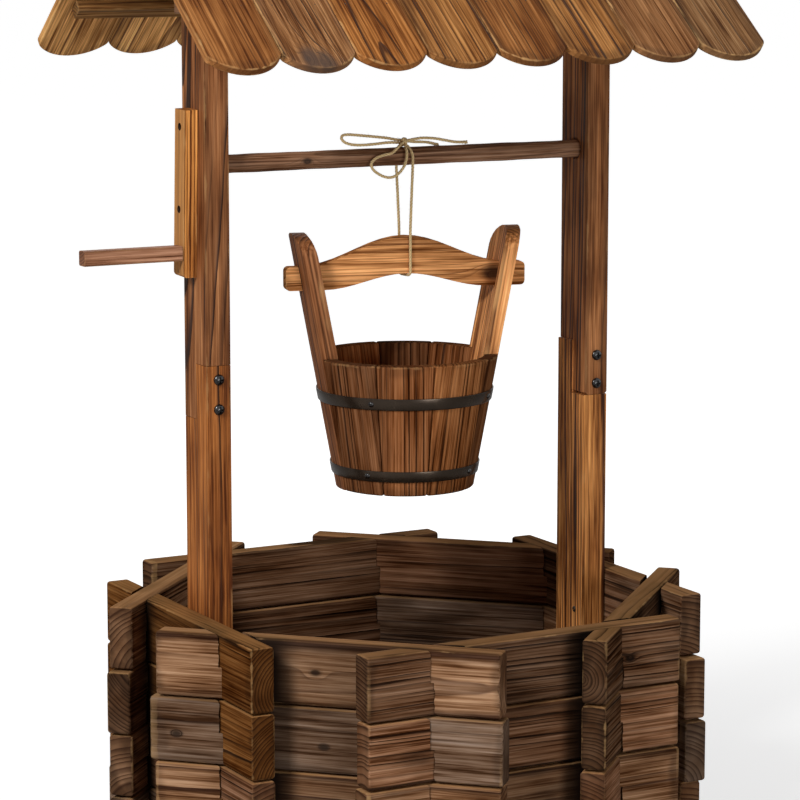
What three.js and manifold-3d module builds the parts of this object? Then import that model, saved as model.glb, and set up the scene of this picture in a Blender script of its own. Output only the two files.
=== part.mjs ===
// A wishing well planter: an octagon of half-lapped boards, two spliced posts, a plank roof,
// a fixed crank, a rod, and a staved bucket that hangs from the rod on a bow of twine.
// Millimetres, +Z up, front towards -Y. The origin is the octagon's axis on the ground.
import * as THREE from "three";
import { mergeVertices } from "three/addons/utils/BufferGeometryUtils.js";
import Module from "manifold-3d";

const wasm = await Module();
wasm.setup();

// Clearances
const fit = 0.3; // between pieces that touch
const overrun = 6; // how far a cut runs past the piece that it cuts
const weld = 1e-3; // corners nearer than this are one

// Octagonal base of stacked boards
const sides = 8;
const courses = 4;
const baseRadius = 285; // axis to the middle of a corner joint
const boardThick = 27;
const boardHeight = 69.75;
const boardBevel = 2.5;
const boardStub = 78; // board beyond the middle of a corner joint
const courseGap = 1;
const grooveDepth = 6; // how deep the line between two courses shows
const jointGap = 0.9; // each side of a board where it sits in a corner joint

// Floor inside the base
const bearerHeight = 20;
const bearerWidth = 34;
const bearerSpacing = 110;
const slatThick = 11;
const slatWidth = 55;
const slatGap = 8;
const slatSink = 0.4; // a slat is let this far into the bearers
const floorGap = 0.7; // floor to walls and posts

// Posts, each spliced from a lower and an upper piece
const postWidth = 28; // along X
const postDepth = 55; // along Y
const postGap = 0.4; // post to wall
const rightLowerExtra = 3; // the right post's lower piece is this much wider, inwards
const lapLength = 60;
const lapChamfer = 2.5; // on the lower end of the right post's front tongue
const leftLapDrop = 211; // rod's axis down to the top of the left splice
const rightLapDrop = 217;

// Splice bolts
const boltRadius = 3;
const boltHoleRadius = 3.3;
const boltHeadRadius = 6;
const boltHeadHeight = 4;
const boltNutRadius = 5.8;
const boltNutHeight = 5;
const boltTail = 2;
const boltDomeShares = [[0, 0], [0.5, 0.12], [0.87, 0.5], [1, 1], [0, 1]]; // of the head's radius and height
const boltInset = 15; // top of the splice to the upper bolt
const boltPitch = 32;

// Rod
const rodRadius = 10;
const rodOverBase = 480;
const rodChamfer = 1;
const rodBoreGap = 0.5; // all round
const rodBoreDepth = 20; // in the right post
const rodEndGap = 1.5;
const mouthRadius = 12.6; // worn mouth of the right bore
const mouthDepth = 2.2;

// Crank
const armThick = 16; // along X
const armWidth = 23.5; // along Y
const armRise = 59.5; // rod's axis up to the arm's top
const armDrop = 118; // rod's axis down to the arm's lower end
const armLean = 2.6; // degrees, top towards the front
const armShift = 0.9; // the arm's middle along Y, level with the rod
const armRound = 5; // on the outer edge of the lower end
const screwHoleRadius = 3.8;
const screwHoleDepth = 9;
const screwHoleRise = 41.4; // rod's axis up to the upper screw hole
const screwHoleDrop = 46;
const handleThick = 16;
const handleLength = 112;
const handleDrop = 92;
const handleShift = 0.6; // the handle's middle along Y
const handleChamfer = 1.5;

// Roof
const roofSlope = 38.63; // degrees
const roofRise = 301.5; // rod's axis up to the ridge
const roofShift = -5.4; // the roof's middle along X
const roofOverhang = 80.2; // beyond the posts' outer faces, at each end
const planks = 8;
const plankGap = 0.45;
const plankLength = 301.7; // ridge to the tip of the scallop
const plankThick = 9;
const scallopDepth = 21.5;
const scallopFillet = 10;
const battenHeight = 14; // square to the slope
const battenWidth = 16; // along the slope
const battenInset = 17; // roof's end to batten's end
const upperBattenRun = 100; // along the slope from the ridge
const lowerBattenRun = 207;
const gableThick = 18;
const gableHalfWidth = 108;
const gableEndHeight = 30;

// Bucket: a staved cone, two staves of which rise as ears and hold the yoke
const bucketTurn = -15; // degrees about the vertical
const bucketShift = 3.7; // bucket's axis along X
const rimDrop = 217.6; // rod's axis down to the rim
const bucketHeight = 146.5;
const rimRadius = 103.2;
const footRadius = 76.3;
const staveThick = 16;
const staveGap = 0.35;
const earTurn = 33.8; // degrees of the rim that an ear takes
const earRise = 139.6; // rim up to the top of the right ear
const leftEarDrop = 3; // from there to the top of the left ear
const earWidth = 62;
const earShoulder = 24; // height of an ear's rounded top
const slotGap = 0.5; // yoke to the slot in an ear, all round
const staveWidthShares = [0.285, 0.251, 0.292, 0.172]; // of the rim between the two ears
const bottomThick = 12;
const bottomInset = 12; // foot up to the underside of the bottom
const bottomGap = 0.4;
const hoopThick = 1.5;
const upperHoopWidth = 13.1;
const upperHoopDrop = 36; // rim down to the hoop's upper edge
const lowerHoopWidth = 12.3;
const lowerHoopRise = 28.5; // foot up to the hoop's upper edge

// Yoke
const yokeThick = 16;
const yokeHalfLength = 134.5;
const yokeDrop = 118; // rod's axis down to the top of the yoke's ends
const yokeEndHeight = 26;
const yokeCorner = 5;
const yokeCrown = 31; // middle of the top above the top of the ends
const yokeCrownHalf = 115; // half the length of the crown's wave
const yokeArch = 16; // middle of the underside above the underside of the ends
const yokeArchHalf = 92;

// Twine
const twineRadius = 1.65;
const twineRodGap = 0.6;
const twineYokeGap = 1.1;
const ringFoot = 0.2; // the ring over the rod ends this far above the rod's axis
const strandHead = 1.6; // the strands start this far below the rod's axis, so that they can tilt
const strandFrontX = 3.3; // where the strands leave the rod, from the bucket's axis
const strandRearX = -3.8;
const wrapSlant = 3.8; // how far the turn round the yoke strays along it, to each side
const wrapBend = 4.6; // round each lower edge of the yoke
const twineFlats = 8;
const knotRadius = 4.6;
const knotPlace = [-2.6, -3, 16.4];

// Routes of the bow, from the point on the rod's axis that the bucket hangs from: X, Y, Z
const leftLoopRoute = [
  [-2, -2, 16.6], [-9.1, 1, 18], [-19.9, 3, 20], [-36.5, 5, 22.1], [-53.6, 6, 24], [-68.2, 5, 25.3],
  [-75.1, 3, 24.4], [-77, 1, 21.5], [-74.7, -1, 18], [-68.3, -2, 15.4], [-57.8, -2, 14.1], [-46.1, -2, 14.1],
  [-34.4, -2, 14.7], [-22.6, -2, 15.5], [-10.8, -2, 16], [-3, -3, 16],
];
const lowerLoopRoute = [
  [-3, -4, 16.6], [-9, -8.5, 14.2], [-16.9, -12.4, 9.2], [-23.6, -14, 5], [-32.9, -14, 3.3], [-41.2, -14, 1],
  [-47, -14, -2.9], [-48.8, -14, -7], [-46.1, -14, -12.3], [-40.3, -14, -16.7], [-33.2, -14, -20.1],
  [-26.2, -14.4, -21.4], [-19.1, -15, -19.6], [-13.4, -15.4, -15.1], [-8.6, -15.6, -8.6], [-6.2, -15.4, -1.4],
  [-5, -14, 5.7], [-4, -9.6, 11.6], [-3, -4.6, 15.6],
];
const longTailRoute = [
  [-3, -3, 16.4], [6, -2.4, 17.6], [13, -2, 18.4], [20.2, -2, 19], [30.9, -2, 18.5], [36.9, -2, 17.8],
  [48.9, -2, 15.6], [61, -2, 13.3], [73.1, -2, 12.5], [77, -2, 12.3],
];
const shortTailRoute = [
  [-3, -2, 16], [5.7, 2, 15.7], [13.3, 3, 14.7], [21.1, 4, 14.3], [28.8, 5, 13.7], [35.4, 6, 12.6],
  [40.7, 7, 11.2], [46, 8.2, 9.8],
];

// Sizes that follow from the ones above
const cornerAngle = Math.PI / sides; // half the turn from one wall to the next
const wallOffset = baseRadius * Math.cos(cornerAngle); // axis to the middle of a board
const wallHalf = baseRadius * Math.sin(cornerAngle);
const wallLength = (wallHalf + boardStub) * 2;
const coursePitch = boardHeight + courseGap;
const baseHeight = coursePitch * courses - courseGap;
const innerOffset = wallOffset - boardThick / 2;

const postX = innerOffset - postGap - postWidth / 2;
const postInnerX = postX - postWidth / 2;
const postOuterX = postX + postWidth / 2;
const floorSide = postInnerX - rightLowerExtra - floorGap; // the middle line to the floor's sides
const rodHeight = baseHeight + rodOverBase;
const rodFlats = 24;
const boreRadius = (rodRadius + rodBoreGap) / Math.cos(Math.PI / rodFlats);

const slope = THREE.MathUtils.degToRad(roofSlope);
const ridgeHeight = rodHeight + roofRise;
const roofLength = (postOuterX + roofOverhang) * 2;
const plankPitch = (roofLength + plankGap) / planks;
const plankWidth = plankPitch - plankGap;

const rimHeight = rodHeight - rimDrop;
const footHeight = rimHeight - bucketHeight;
const earHeight = rimHeight + earRise;
const staveFlare = (rimRadius - footRadius) / bucketHeight; // radius gained for each rise
const yokeTop = rodHeight - yokeDrop; // top of the yoke's ends
const yokeFoot = yokeTop - yokeEndHeight;
const yokePeak = yokeTop + yokeCrown;
const bucketAngle = THREE.MathUtils.degToRad(bucketTurn);

const ringRadius = rodRadius + twineRodGap + twineRadius;
const wrapOffset = yokeThick / 2 + twineYokeGap + twineRadius; // yoke's middle to the twine's middle
const strandFoot = yokePeak + twineYokeGap;

// Colours and finishes
const finishes = {
  baseBoard: { color: 0x6f4d36, roughness: 0.75, metalness: 0 },
  postWood: { color: 0x7d4a2c, roughness: 0.65, metalness: 0 },
  roofPlank: { color: 0x94602f, roughness: 0.6, metalness: 0 },
  roofFrame: { color: 0x5a3c28, roughness: 0.75, metalness: 0 },
  rodWood: { color: 0x4a3022, roughness: 0.5, metalness: 0 },
  crankWood: { color: 0xa8703c, roughness: 0.6, metalness: 0 },
  bucketWood: { color: 0x8c5227, roughness: 0.6, metalness: 0 },
  hoopIron: { color: 0x3c382e, roughness: 0.5, metalness: 0.7 },
  boltSteel: { color: 0x35322f, roughness: 0.35, metalness: 0.9 },
  twineJute: { color: 0xb09468, roughness: 0.9, metalness: 0 },
};

const xAxis = new THREE.Vector3(1, 0, 0);
const yAxis = new THREE.Vector3(0, 1, 0);
const zAxis = new THREE.Vector3(0, 0, 1);
const frontwards = new THREE.Vector3(0, -1, 0);

const planter = new THREE.Group();
const bucket = new THREE.Group();
bucket.position.set(bucketShift, 0, 0);
bucket.rotation.z = bucketAngle;
const twine = new THREE.Group();
twine.position.set(bucketShift, 0, rodHeight);
planter.add(bucket, twine);

// Solids from geometries, and meshes from solids

function solidOf(geometry, frame = new THREE.Matrix4()) {
  const plain = new THREE.BufferGeometry().setAttribute("position", geometry.getAttribute("position"));
  if (geometry.index) plain.setIndex(geometry.index);
  const merged = mergeVertices(plain.clone().applyMatrix4(frame), weld);
  const mesh = new wasm.Mesh({
    numProp: 3,
    vertProperties: new Float32Array(merged.attributes.position.array),
    triVerts: new Uint32Array(merged.index.array),
  });
  return new wasm.Manifold(mesh);
}

function cut(solid, tools) {
  return tools.reduce((left, tool) => left.subtract(tool), solid);
}

function join(solids) {
  return solids.reduce((whole, solid) => whole.add(solid));
}

function addPiece(name, finish, solid, group = planter) {
  const made = solid.getMesh();
  const geometry = new THREE.BufferGeometry();
  geometry.setAttribute("position", new THREE.BufferAttribute(made.vertProperties, made.numProp));
  geometry.setIndex(new THREE.BufferAttribute(made.triVerts, 1));
  geometry.computeVertexNormals();
  const mesh = new THREE.Mesh(geometry, new THREE.MeshStandardMaterial(finishes[finish]));
  mesh.name = name;
  group.add(mesh);
}

// A frame from three directions and a place.
function frameOf(first, second, third, place = new THREE.Vector3()) {
  return new THREE.Matrix4().makeBasis(first, second, third).setPosition(place);
}

// A box between two opposite corners.
function block(low, high, frame) {
  const size = low.map((value, i) => high[i] - value);
  const box = new THREE.BoxGeometry(...size);
  box.translate(...low.map((value, i) => value + size[i] / 2));
  return solidOf(box, frame);
}

function outline(points) {
  return new THREE.Shape(points.map(([x, y]) => new THREE.Vector2(x, y)));
}

// A prism of an outline in the frame's first two directions, as long to each side of it along the third.
function prism(shape, length, frame, curveSegments = 3) {
  const body = new THREE.ExtrudeGeometry(shape, { depth: length, bevelEnabled: false, curveSegments });
  body.translate(0, 0, -length / 2);
  return solidOf(body, frame);
}

// A prism of an outline in Y and Z, between two places along X.
function prismAlongX(shape, from, to) {
  const middle = new THREE.Vector3((from + to) / 2, 0, 0);
  return prism(shape, Math.abs(to - from), frameOf(yAxis, zAxis, xAxis, middle));
}

// A solid of revolution about an axis through a place, from a profile of radius and height.
function turned(profile, segments, axis, place) {
  const lathe = new THREE.LatheGeometry(profile.map(([r, h]) => new THREE.Vector2(r, h)), segments);
  const turn = new THREE.Quaternion().setFromUnitVectors(yAxis, axis);
  return solidOf(lathe, new THREE.Matrix4().makeRotationFromQuaternion(turn).setPosition(place));
}

function cylinder(radius, length, segments, axis, place) {
  return turned([[0, 0], [radius, 0], [radius, length], [0, length]], segments, axis, place);
}

// Base: one wall on each side, with the seams between its four boards and its corner joints

// In a corner joint each board keeps half its height, and its neighbour passes through the other half.
function jointCutters(corner, direction, upperHalf) {
  const half = boardThick / 2 + jointGap;
  const reach = boardThick * 2;
  const frame = new THREE.Matrix4().makeRotationZ(direction).setPosition(corner);
  return Array.from({ length: courses }, (_, course) => {
    const foot = course * coursePitch;
    const middle = foot + boardHeight / 2;
    const below = course === 0 ? overrun : courseGap;
    const above = course === courses - 1 ? overrun : courseGap;
    const low = upperHalf ? middle - fit / 2 : foot - below;
    const high = upperHalf ? foot + boardHeight + above : middle + fit / 2;
    return block([-reach, -half, low], [reach, half, high], frame);
  });
}

function wallSection() {
  const face = boardThick / 2;
  const edge = face - boardBevel;
  const seam = face - grooveDepth;
  const side = [];
  for (let course = 0; course < courses; course++) {
    const foot = course * coursePitch;
    const top = foot + boardHeight;
    if (course > 0) side.push([seam, foot]);
    side.push([edge, foot], [face, foot + boardBevel], [face, top - boardBevel], [edge, top]);
    if (course < courses - 1) side.push([seam, top]);
  }
  return outline([...side, ...side.map(([x, z]) => [-x, z]).reverse()]);
}

function addWalls() {
  for (let side = 0; side < sides; side++) {
    const facing = cornerAngle * 2 * side;
    const normal = new THREE.Vector3(Math.cos(facing), Math.sin(facing), 0);
    const leftwards = normal.clone().cross(zAxis); // as seen from outside
    const middle = normal.clone().multiplyScalar(wallOffset);
    const leftCorner = middle.clone().addScaledVector(leftwards, wallHalf);
    const rightCorner = middle.clone().addScaledVector(leftwards, -wallHalf);
    const tools = [
      ...jointCutters(leftCorner, facing + Math.PI / 2 - cornerAngle * 2, true),
      ...jointCutters(rightCorner, facing + Math.PI / 2 + cornerAngle * 2, false),
    ];
    const wall = prism(wallSection(), wallLength, frameOf(normal, zAxis, leftwards, middle));
    addPiece("wall_" + (side + 1), "baseBoard", cut(wall, tools));
  }
}

// Floor: slats across three bearers, trimmed to the octagon and clear of the posts

// How far the floor may run from the middle line, at a distance to the side of it.
function floorReach(offset) {
  const straight = innerOffset - floorGap;
  return Math.min(straight, straight / Math.cos(cornerAngle * 2) - offset);
}

function addFloor() {
  const pieces = [];
  for (const row of [-1, 0, 1]) {
    const y = row * bearerSpacing;
    const near = y - bearerWidth / 2;
    const far = y + bearerWidth / 2;
    const reach = row === 0 ? floorSide : floorReach(bearerSpacing + bearerWidth / 2);
    pieces.push(block([-reach, near, 0], [reach, far, bearerHeight]));
  }
  const pitch = slatWidth + slatGap;
  const low = bearerHeight - slatSink;
  const each = Math.floor((floorSide - slatWidth / 2) / pitch);
  for (let i = -each; i <= each; i++) {
    const left = i * pitch - slatWidth / 2;
    const right = i * pitch + slatWidth / 2;
    const reach = floorReach(Math.max(-left, right));
    pieces.push(block([left, -reach, low], [right, reach, low + slatThick]));
  }
  addPiece("floor_slats", "baseBoard", join(pieces));
}

// Posts: half-lapped splices, bolt holes, the rod's bores, and tops cut to the roof

// Height of a plane that lies a depth below the roof's upper face, at a distance from the middle line.
function underRoof(depth, y) {
  return ridgeHeight - depth / Math.cos(slope) - Math.abs(y) * Math.tan(slope);
}

function roofCutter(depth, halfWidth, from, to) {
  const edge = halfWidth + overrun;
  const high = ridgeHeight + overrun;
  const low = underRoof(depth, edge);
  const shape = outline([[-edge, low], [0, underRoof(depth, 0)], [edge, low], [edge, high], [-edge, high]]);
  return prismAlongX(shape, from, to);
}

function boltHeights(lapTop) {
  return [lapTop - boltInset, lapTop - boltInset - boltPitch];
}

function boltHoles(x, lapTop) {
  const start = postDepth / 2 + overrun;
  return boltHeights(lapTop).map((z) =>
    cylinder(boltHoleRadius, start * 2, 12, yAxis, new THREE.Vector3(x, -start, z)),
  );
}

// Half of the post's depth, in front for side -1 and behind for side 1, with the splice's clearance.
function lapCutter(x, side, low, high) {
  const near = (-side * fit) / 2;
  const far = side * (postDepth / 2 + overrun);
  const wide = postWidth / 2 + overrun;
  return block([x - wide, Math.min(near, far), low], [x + wide, Math.max(near, far), high]);
}

// Chamfers on the two lower corners of a front tongue.
function tongueChamfers(x, foot) {
  const frame = frameOf(xAxis, zAxis, frontwards, new THREE.Vector3(0, -postDepth / 2, 0));
  return [-1, 1].map((side) => {
    const edge = x + (side * postWidth) / 2;
    const outside = edge + side * overrun;
    const inside = edge - side * (lapChamfer + overrun);
    const [low, high] = [foot - overrun, foot + lapChamfer + overrun];
    const shape = outline([[inside, low], [outside, low], [outside, high]]);
    return prism(shape, postDepth - fit * 2, frame);
  });
}

function rodBores(side) {
  const at = (x) => new THREE.Vector3(x, 0, rodHeight);
  if (side < 0) {
    const length = postWidth + overrun * 2;
    return [cylinder(boreRadius, length, rodFlats, xAxis, at(-postOuterX - overrun))];
  }
  const bore = cylinder(boreRadius, rodBoreDepth + overrun, rodFlats, xAxis, at(postInnerX - overrun));
  const mouth = [
    [0, -overrun],
    [mouthRadius, -overrun],
    [mouthRadius, 0],
    [boreRadius, mouthDepth],
    [0, mouthDepth],
  ];
  return [bore, turned(mouth, rodFlats, xAxis, at(postInnerX))];
}

// The lower piece's tongue stands in front (-1) or behind (1), and the upper piece's is the other one.
function addPost(name, side, lapDrop, lowerTongue, lowerExtra) {
  const x = side * postX;
  const left = x - postWidth / 2;
  const right = x + postWidth / 2;
  const lowerLeft = side > 0 ? left - lowerExtra : left;
  const lowerRight = side < 0 ? right + lowerExtra : right;
  const deep = postDepth / 2;
  const lapTop = rodHeight - lapDrop;
  const lapFoot = lapTop - lapLength;
  const holes = boltHoles(x, lapTop);

  const lower = block([lowerLeft, -deep, 0], [lowerRight, deep, lapTop]);
  const lowerStep = lapCutter(x, -lowerTongue, lapFoot, lapTop + overrun);
  addPiece(name + "_lower", "postWood", cut(lower, [lowerStep, ...holes]));

  const upper = block([left, -deep, lapFoot + fit], [right, deep, ridgeHeight]);
  const upperStep = lapCutter(x, lowerTongue, lapFoot - overrun, lapTop + fit);
  const top = roofCutter(plankThick + fit, deep, left - overrun, right + overrun);
  const chamfers = lowerTongue < 0 ? [] : tongueChamfers(x, lapFoot + fit);
  const tools = [upperStep, top, ...holes, ...rodBores(side), ...chamfers];
  addPiece(name + "_upper", "postWood", cut(upper, tools));
}

// Splice bolts: a domed head in front, a shank through the splice and a hexagonal nut behind

function addBolts(name, side, lapDrop) {
  const front = -postDepth / 2 - fit - boltHeadHeight;
  const back = postDepth / 2 + fit;
  const dome = boltDomeShares.map(([across, deep]) => [boltHeadRadius * across, boltHeadHeight * deep]);
  boltHeights(rodHeight - lapDrop).forEach((z, i) => {
    const at = (y) => new THREE.Vector3(side * postX, y, z);
    const start = front + boltHeadHeight / 2;
    const head = turned(dome, 16, yAxis, at(front));
    const shank = cylinder(boltRadius, back + boltNutHeight + boltTail - start, 12, yAxis, at(start));
    const nut = cylinder(boltNutRadius, boltNutHeight, 6, yAxis, at(back));
    addPiece(name + "_" + ["upper", "lower"][i], "boltSteel", join([head, shank, nut]));
  });
}

// Rod: loose in a through bore on the left and a blind bore on the right

function addRod() {
  const left = -postOuterX + fit;
  const length = postInnerX + rodBoreDepth - rodEndGap - left;
  const neck = rodRadius - rodChamfer;
  const profile = [
    [0, 0], [neck, 0], [rodRadius, rodChamfer], [rodRadius, length - rodChamfer], [neck, length], [0, length],
  ];
  addPiece("rod", "rodWood", turned(profile, rodFlats, xAxis, new THREE.Vector3(left, 0, rodHeight)));
}

// Crank: an arm screwed flat on the left post, over the rod's bore, and a handle square to it

function addCrank() {
  const inner = -postOuterX - fit;
  const outer = inner - armThick;
  const half = armWidth / 2;
  const place = new THREE.Matrix4().makeRotationX(THREE.MathUtils.degToRad(armLean));
  place.setPosition(0, armShift, rodHeight);

  const arm = block([outer, -half, -armDrop], [inner, half, armRise], place);
  const corner = new THREE.Shape();
  corner.moveTo(outer + armRound, -armDrop - overrun);
  corner.lineTo(outer + armRound, -armDrop);
  corner.absarc(outer + armRound, -armDrop + armRound, armRound, -Math.PI / 2, -Math.PI, true);
  corner.lineTo(outer - overrun, -armDrop + armRound);
  corner.lineTo(outer - overrun, -armDrop - overrun);
  const upright = frameOf(xAxis, zAxis, frontwards).premultiply(place);
  const rounding = prism(corner, armWidth + overrun * 2, upright);
  const holes = [screwHoleRise, -screwHoleDrop].map((z) => {
    const start = new THREE.Vector3(outer - overrun, 0, z).applyMatrix4(place);
    return cylinder(screwHoleRadius, screwHoleDepth + overrun, 16, xAxis, start);
  });
  addPiece("crank_arm", "crankWood", cut(arm, [rounding, ...holes]));

  const side = handleThick / 2;
  const flat = side - handleChamfer;
  const quarter = [[side, -flat], [side, flat], [flat, side], [-flat, side]];
  const section = outline([...quarter, ...quarter.map(([y, z]) => [-y, -z])]);
  const middle = new THREE.Vector3(outer - fit - handleLength / 2, handleShift, rodHeight - handleDrop);
  addPiece("crank_handle", "crankWood", prism(section, handleLength, frameOf(yAxis, zAxis, xAxis, middle)));
}

// Roof: planks with scalloped ends, battens under them and a gable plate on each post

// From the ridge along the slope. A wide arc ends the plank, with a fillet at each side.
function plankShape() {
  const half = plankWidth / 2;
  const radius = (half ** 2 + scallopDepth ** 2) / (scallopDepth * 2);
  const centre = plankLength - radius;
  const side = half - scallopFillet;
  const run = Math.sqrt((radius - scallopFillet) ** 2 - side ** 2);
  const turn = Math.atan2(run, side);
  const shape = new THREE.Shape();
  shape.moveTo(-half, 0);
  shape.lineTo(half, 0);
  shape.lineTo(half, centre + run);
  shape.absarc(side, centre + run, scallopFillet, 0, turn, false);
  shape.absarc(0, centre, radius, turn, Math.PI - turn, false);
  shape.absarc(-side, centre + run, scallopFillet, Math.PI - turn, Math.PI, false);
  return shape;
}

// The front slope's side is -1 and the back slope's is 1.
function addSlope(name, side) {
  const down = new THREE.Vector3(0, side * Math.cos(slope), -Math.sin(slope));
  const inwards = new THREE.Vector3(0, -side * Math.sin(slope), -Math.cos(slope));
  const across = down.clone().cross(inwards);
  const ridge = new THREE.Vector3(roofShift, 0, ridgeHeight);
  const shape = plankShape();
  const deep = plankThick + overrun;

  // The planks of the two slopes meet in a vertical mitre under the ridge.
  const mitre = [(side * fit) / 2, -side * deep].sort((a, b) => a - b);
  const low = [roofShift - roofLength, mitre[0], ridgeHeight - deep];
  const high = [roofShift + roofLength, mitre[1], ridgeHeight + overrun];
  for (let i = 0; i < planks; i++) {
    const place = ridge.clone().addScaledVector(inwards, plankThick / 2);
    place.x += (i - (planks - 1) / 2) * plankPitch;
    const plank = prism(shape, plankThick, frameOf(across, down, inwards, place));
    addPiece(name + "_plank_" + (i + 1), "roofPlank", plank.subtract(block(low, high)));
  }

  const corner = [roofLength / 2 - battenInset, battenWidth / 2, battenHeight / 2];
  for (const [label, run] of [["upper", upperBattenRun], ["lower", lowerBattenRun]]) {
    const place = ridge.clone().addScaledVector(down, run);
    place.addScaledVector(inwards, plankThick + fit + battenHeight / 2);
    const batten = block(corner.map((value) => -value), corner, frameOf(across, down, inwards, place));
    addPiece(name + "_" + label + "_batten", "roofFrame", batten);
  }
}

function addGable(name, side) {
  const depth = plankThick + fit + battenHeight + fit;
  const end = underRoof(depth, gableHalfWidth);
  const foot = end - gableEndHeight;
  const shape = outline([
    [-gableHalfWidth, foot],
    [gableHalfWidth, foot],
    [gableHalfWidth, end],
    [0, underRoof(depth, 0)],
    [-gableHalfWidth, end],
  ]);
  const near = side * (postInnerX - fit);
  addPiece(name, "roofFrame", prismAlongX(shape, near, near - side * gableThick));
}

// Bucket, about its own axis, with the yoke along X

const staveFlats = 48;

function staveRadius(z) {
  return footRadius + (z - footHeight) * staveFlare;
}

// The wall of the cone between two heights, from outside the staves' face by one amount to another.
function coneWall(low, high, outer, inner) {
  const corners = [
    [staveRadius(low) + inner, low],
    [staveRadius(low) + outer, low],
    [staveRadius(high) + outer, high],
    [staveRadius(high) + inner, high],
  ];
  return turned([...corners, corners[0]], staveFlats, zAxis, new THREE.Vector3());
}

// The wedge of a stave between two angles in degrees, less the gap that it shares with its neighbours.
function wedge(from, to, high) {
  const point = (degrees, distance, shift) => {
    const angle = THREE.MathUtils.degToRad(degrees);
    const [c, s] = [Math.cos(angle), Math.sin(angle)];
    return [c * distance - s * shift, s * distance + c * shift];
  };
  const near = footRadius / 2;
  const far = rimRadius * 2;
  const half = staveGap / 2;
  const [start, stop] = [(r) => point(from, r, half), (r) => point(to, r, -half)];
  const shape = outline([start(near), start(far), stop(far), stop(near)]);
  const low = footHeight - overrun;
  return prism(shape, high - low, frameOf(xAxis, yAxis, zAxis, new THREE.Vector3(0, 0, (low + high) / 2)));
}

// The yoke's section in an ear, as a hole right through it.
function earSlot() {
  const side = yokeThick / 2 + slotGap;
  const reach = yokeHalfLength + overrun;
  return block([-reach, -side, yokeFoot - slotGap], [reach, side, yokeTop + slotGap]);
}

function addEar(name, middle, top) {
  const half = earWidth / 2;
  const foot = rimHeight + fit;
  const shape = new THREE.Shape();
  shape.moveTo(half, foot);
  shape.lineTo(half, top - earShoulder);
  shape.absellipse(0, top - earShoulder, half, earShoulder, 0, Math.PI, false);
  shape.lineTo(-half, foot);
  const reach = yokeHalfLength + overrun;
  const side = middle === 0 ? 1 : -1;
  const place = new THREE.Vector3((side * reach) / 2, 0, 0);
  const above = prism(shape, reach, frameOf(yAxis, zAxis, xAxis, place), 6);
  const below = wedge(middle - earTurn / 2, middle + earTurn / 2, rimHeight + overrun);
  const wall = coneWall(footHeight, top + overrun, 0, -staveThick);
  addPiece(name, "bucketWood", wall.intersect(above.add(below)).subtract(earSlot()), bucket);
}

function addStaves() {
  const wall = coneWall(footHeight, rimHeight, 0, -staveThick);
  const halfTurn = THREE.MathUtils.radToDeg(Math.PI);
  [0, 1].forEach((half) => {
    let from = half * halfTurn + earTurn / 2;
    staveWidthShares.forEach((share, i) => {
      const to = from + share * (halfTurn - earTurn);
      const name = "bucket_stave_" + (half * staveWidthShares.length + i + 1);
      addPiece(name, "bucketWood", wall.intersect(wedge(from, to, rimHeight + overrun)), bucket);
      from = to;
    });
  });
}

function addBottom() {
  const low = footHeight + bottomInset;
  const high = low + bottomThick;
  const radius = (z) => staveRadius(z) - staveThick - bottomGap;
  const profile = [[0, low], [radius(low), low], [radius(high), high], [0, high]];
  addPiece("bucket_bottom", "bucketWood", turned(profile, staveFlats, zAxis, new THREE.Vector3()), bucket);
}

function addHoop(name, high, width) {
  addPiece(name, "hoopIron", coneWall(high - width, high, fit + hoopThick, fit), bucket);
}

// The yoke's crown and arch are waves: highest in the middle and level at half their length.
function wave(height, half, x) {
  return (height * (1 + Math.cos((Math.PI * x) / half))) / 2;
}

// Adds a wave over a level to the outline, from one place along the yoke to another.
function addWave(shape, from, to, level, height, half) {
  const steps = 16;
  for (let i = 0; i <= steps; i++) {
    const x = from + ((to - from) * i) / steps;
    shape.lineTo(x, level + wave(height, half, x));
  }
}

function addYoke() {
  const end = yokeHalfLength - yokeCorner;
  const inside = (staveRadius(yokeTop) - staveThick) * Math.cos(Math.PI / staveFlats); // the ear's inner face
  const shoulder = Math.sqrt(inside ** 2 - (yokeThick / 2) ** 2) - fit;
  const shape = new THREE.Shape();
  shape.moveTo(-end, yokeFoot);
  addWave(shape, -yokeArchHalf, yokeArchHalf, yokeFoot, yokeArch, yokeArchHalf);
  shape.lineTo(end, yokeFoot);
  shape.absarc(end, yokeFoot + yokeCorner, yokeCorner, -Math.PI / 2, 0, false);
  shape.absarc(end, yokeTop - yokeCorner, yokeCorner, 0, Math.PI / 2, false);
  shape.lineTo(shoulder, yokeTop);
  addWave(shape, shoulder, -shoulder, yokeTop, yokeCrown, yokeCrownHalf);
  shape.lineTo(-shoulder, yokeTop);
  shape.absarc(-end, yokeTop - yokeCorner, yokeCorner, Math.PI / 2, Math.PI, false);
  shape.absarc(-end, yokeFoot + yokeCorner, yokeCorner, Math.PI, Math.PI * 1.5, false);
  addPiece("yoke", "bucketWood", prism(shape, yokeThick, frameOf(xAxis, zAxis, frontwards)), bucket);
}

// Twine: a bow and a ring over the rod, two strands, and a turn round the yoke

function tube(points, steps) {
  const curve = new THREE.CatmullRomCurve3(points.map((point) => new THREE.Vector3(...point)));
  const section = new THREE.Shape().absarc(0, 0, twineRadius, 0, Math.PI * 2, false);
  const options = { steps, extrudePath: curve, curveSegments: twineFlats / 2 };
  return solidOf(new THREE.ExtrudeGeometry(section, options));
}

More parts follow.
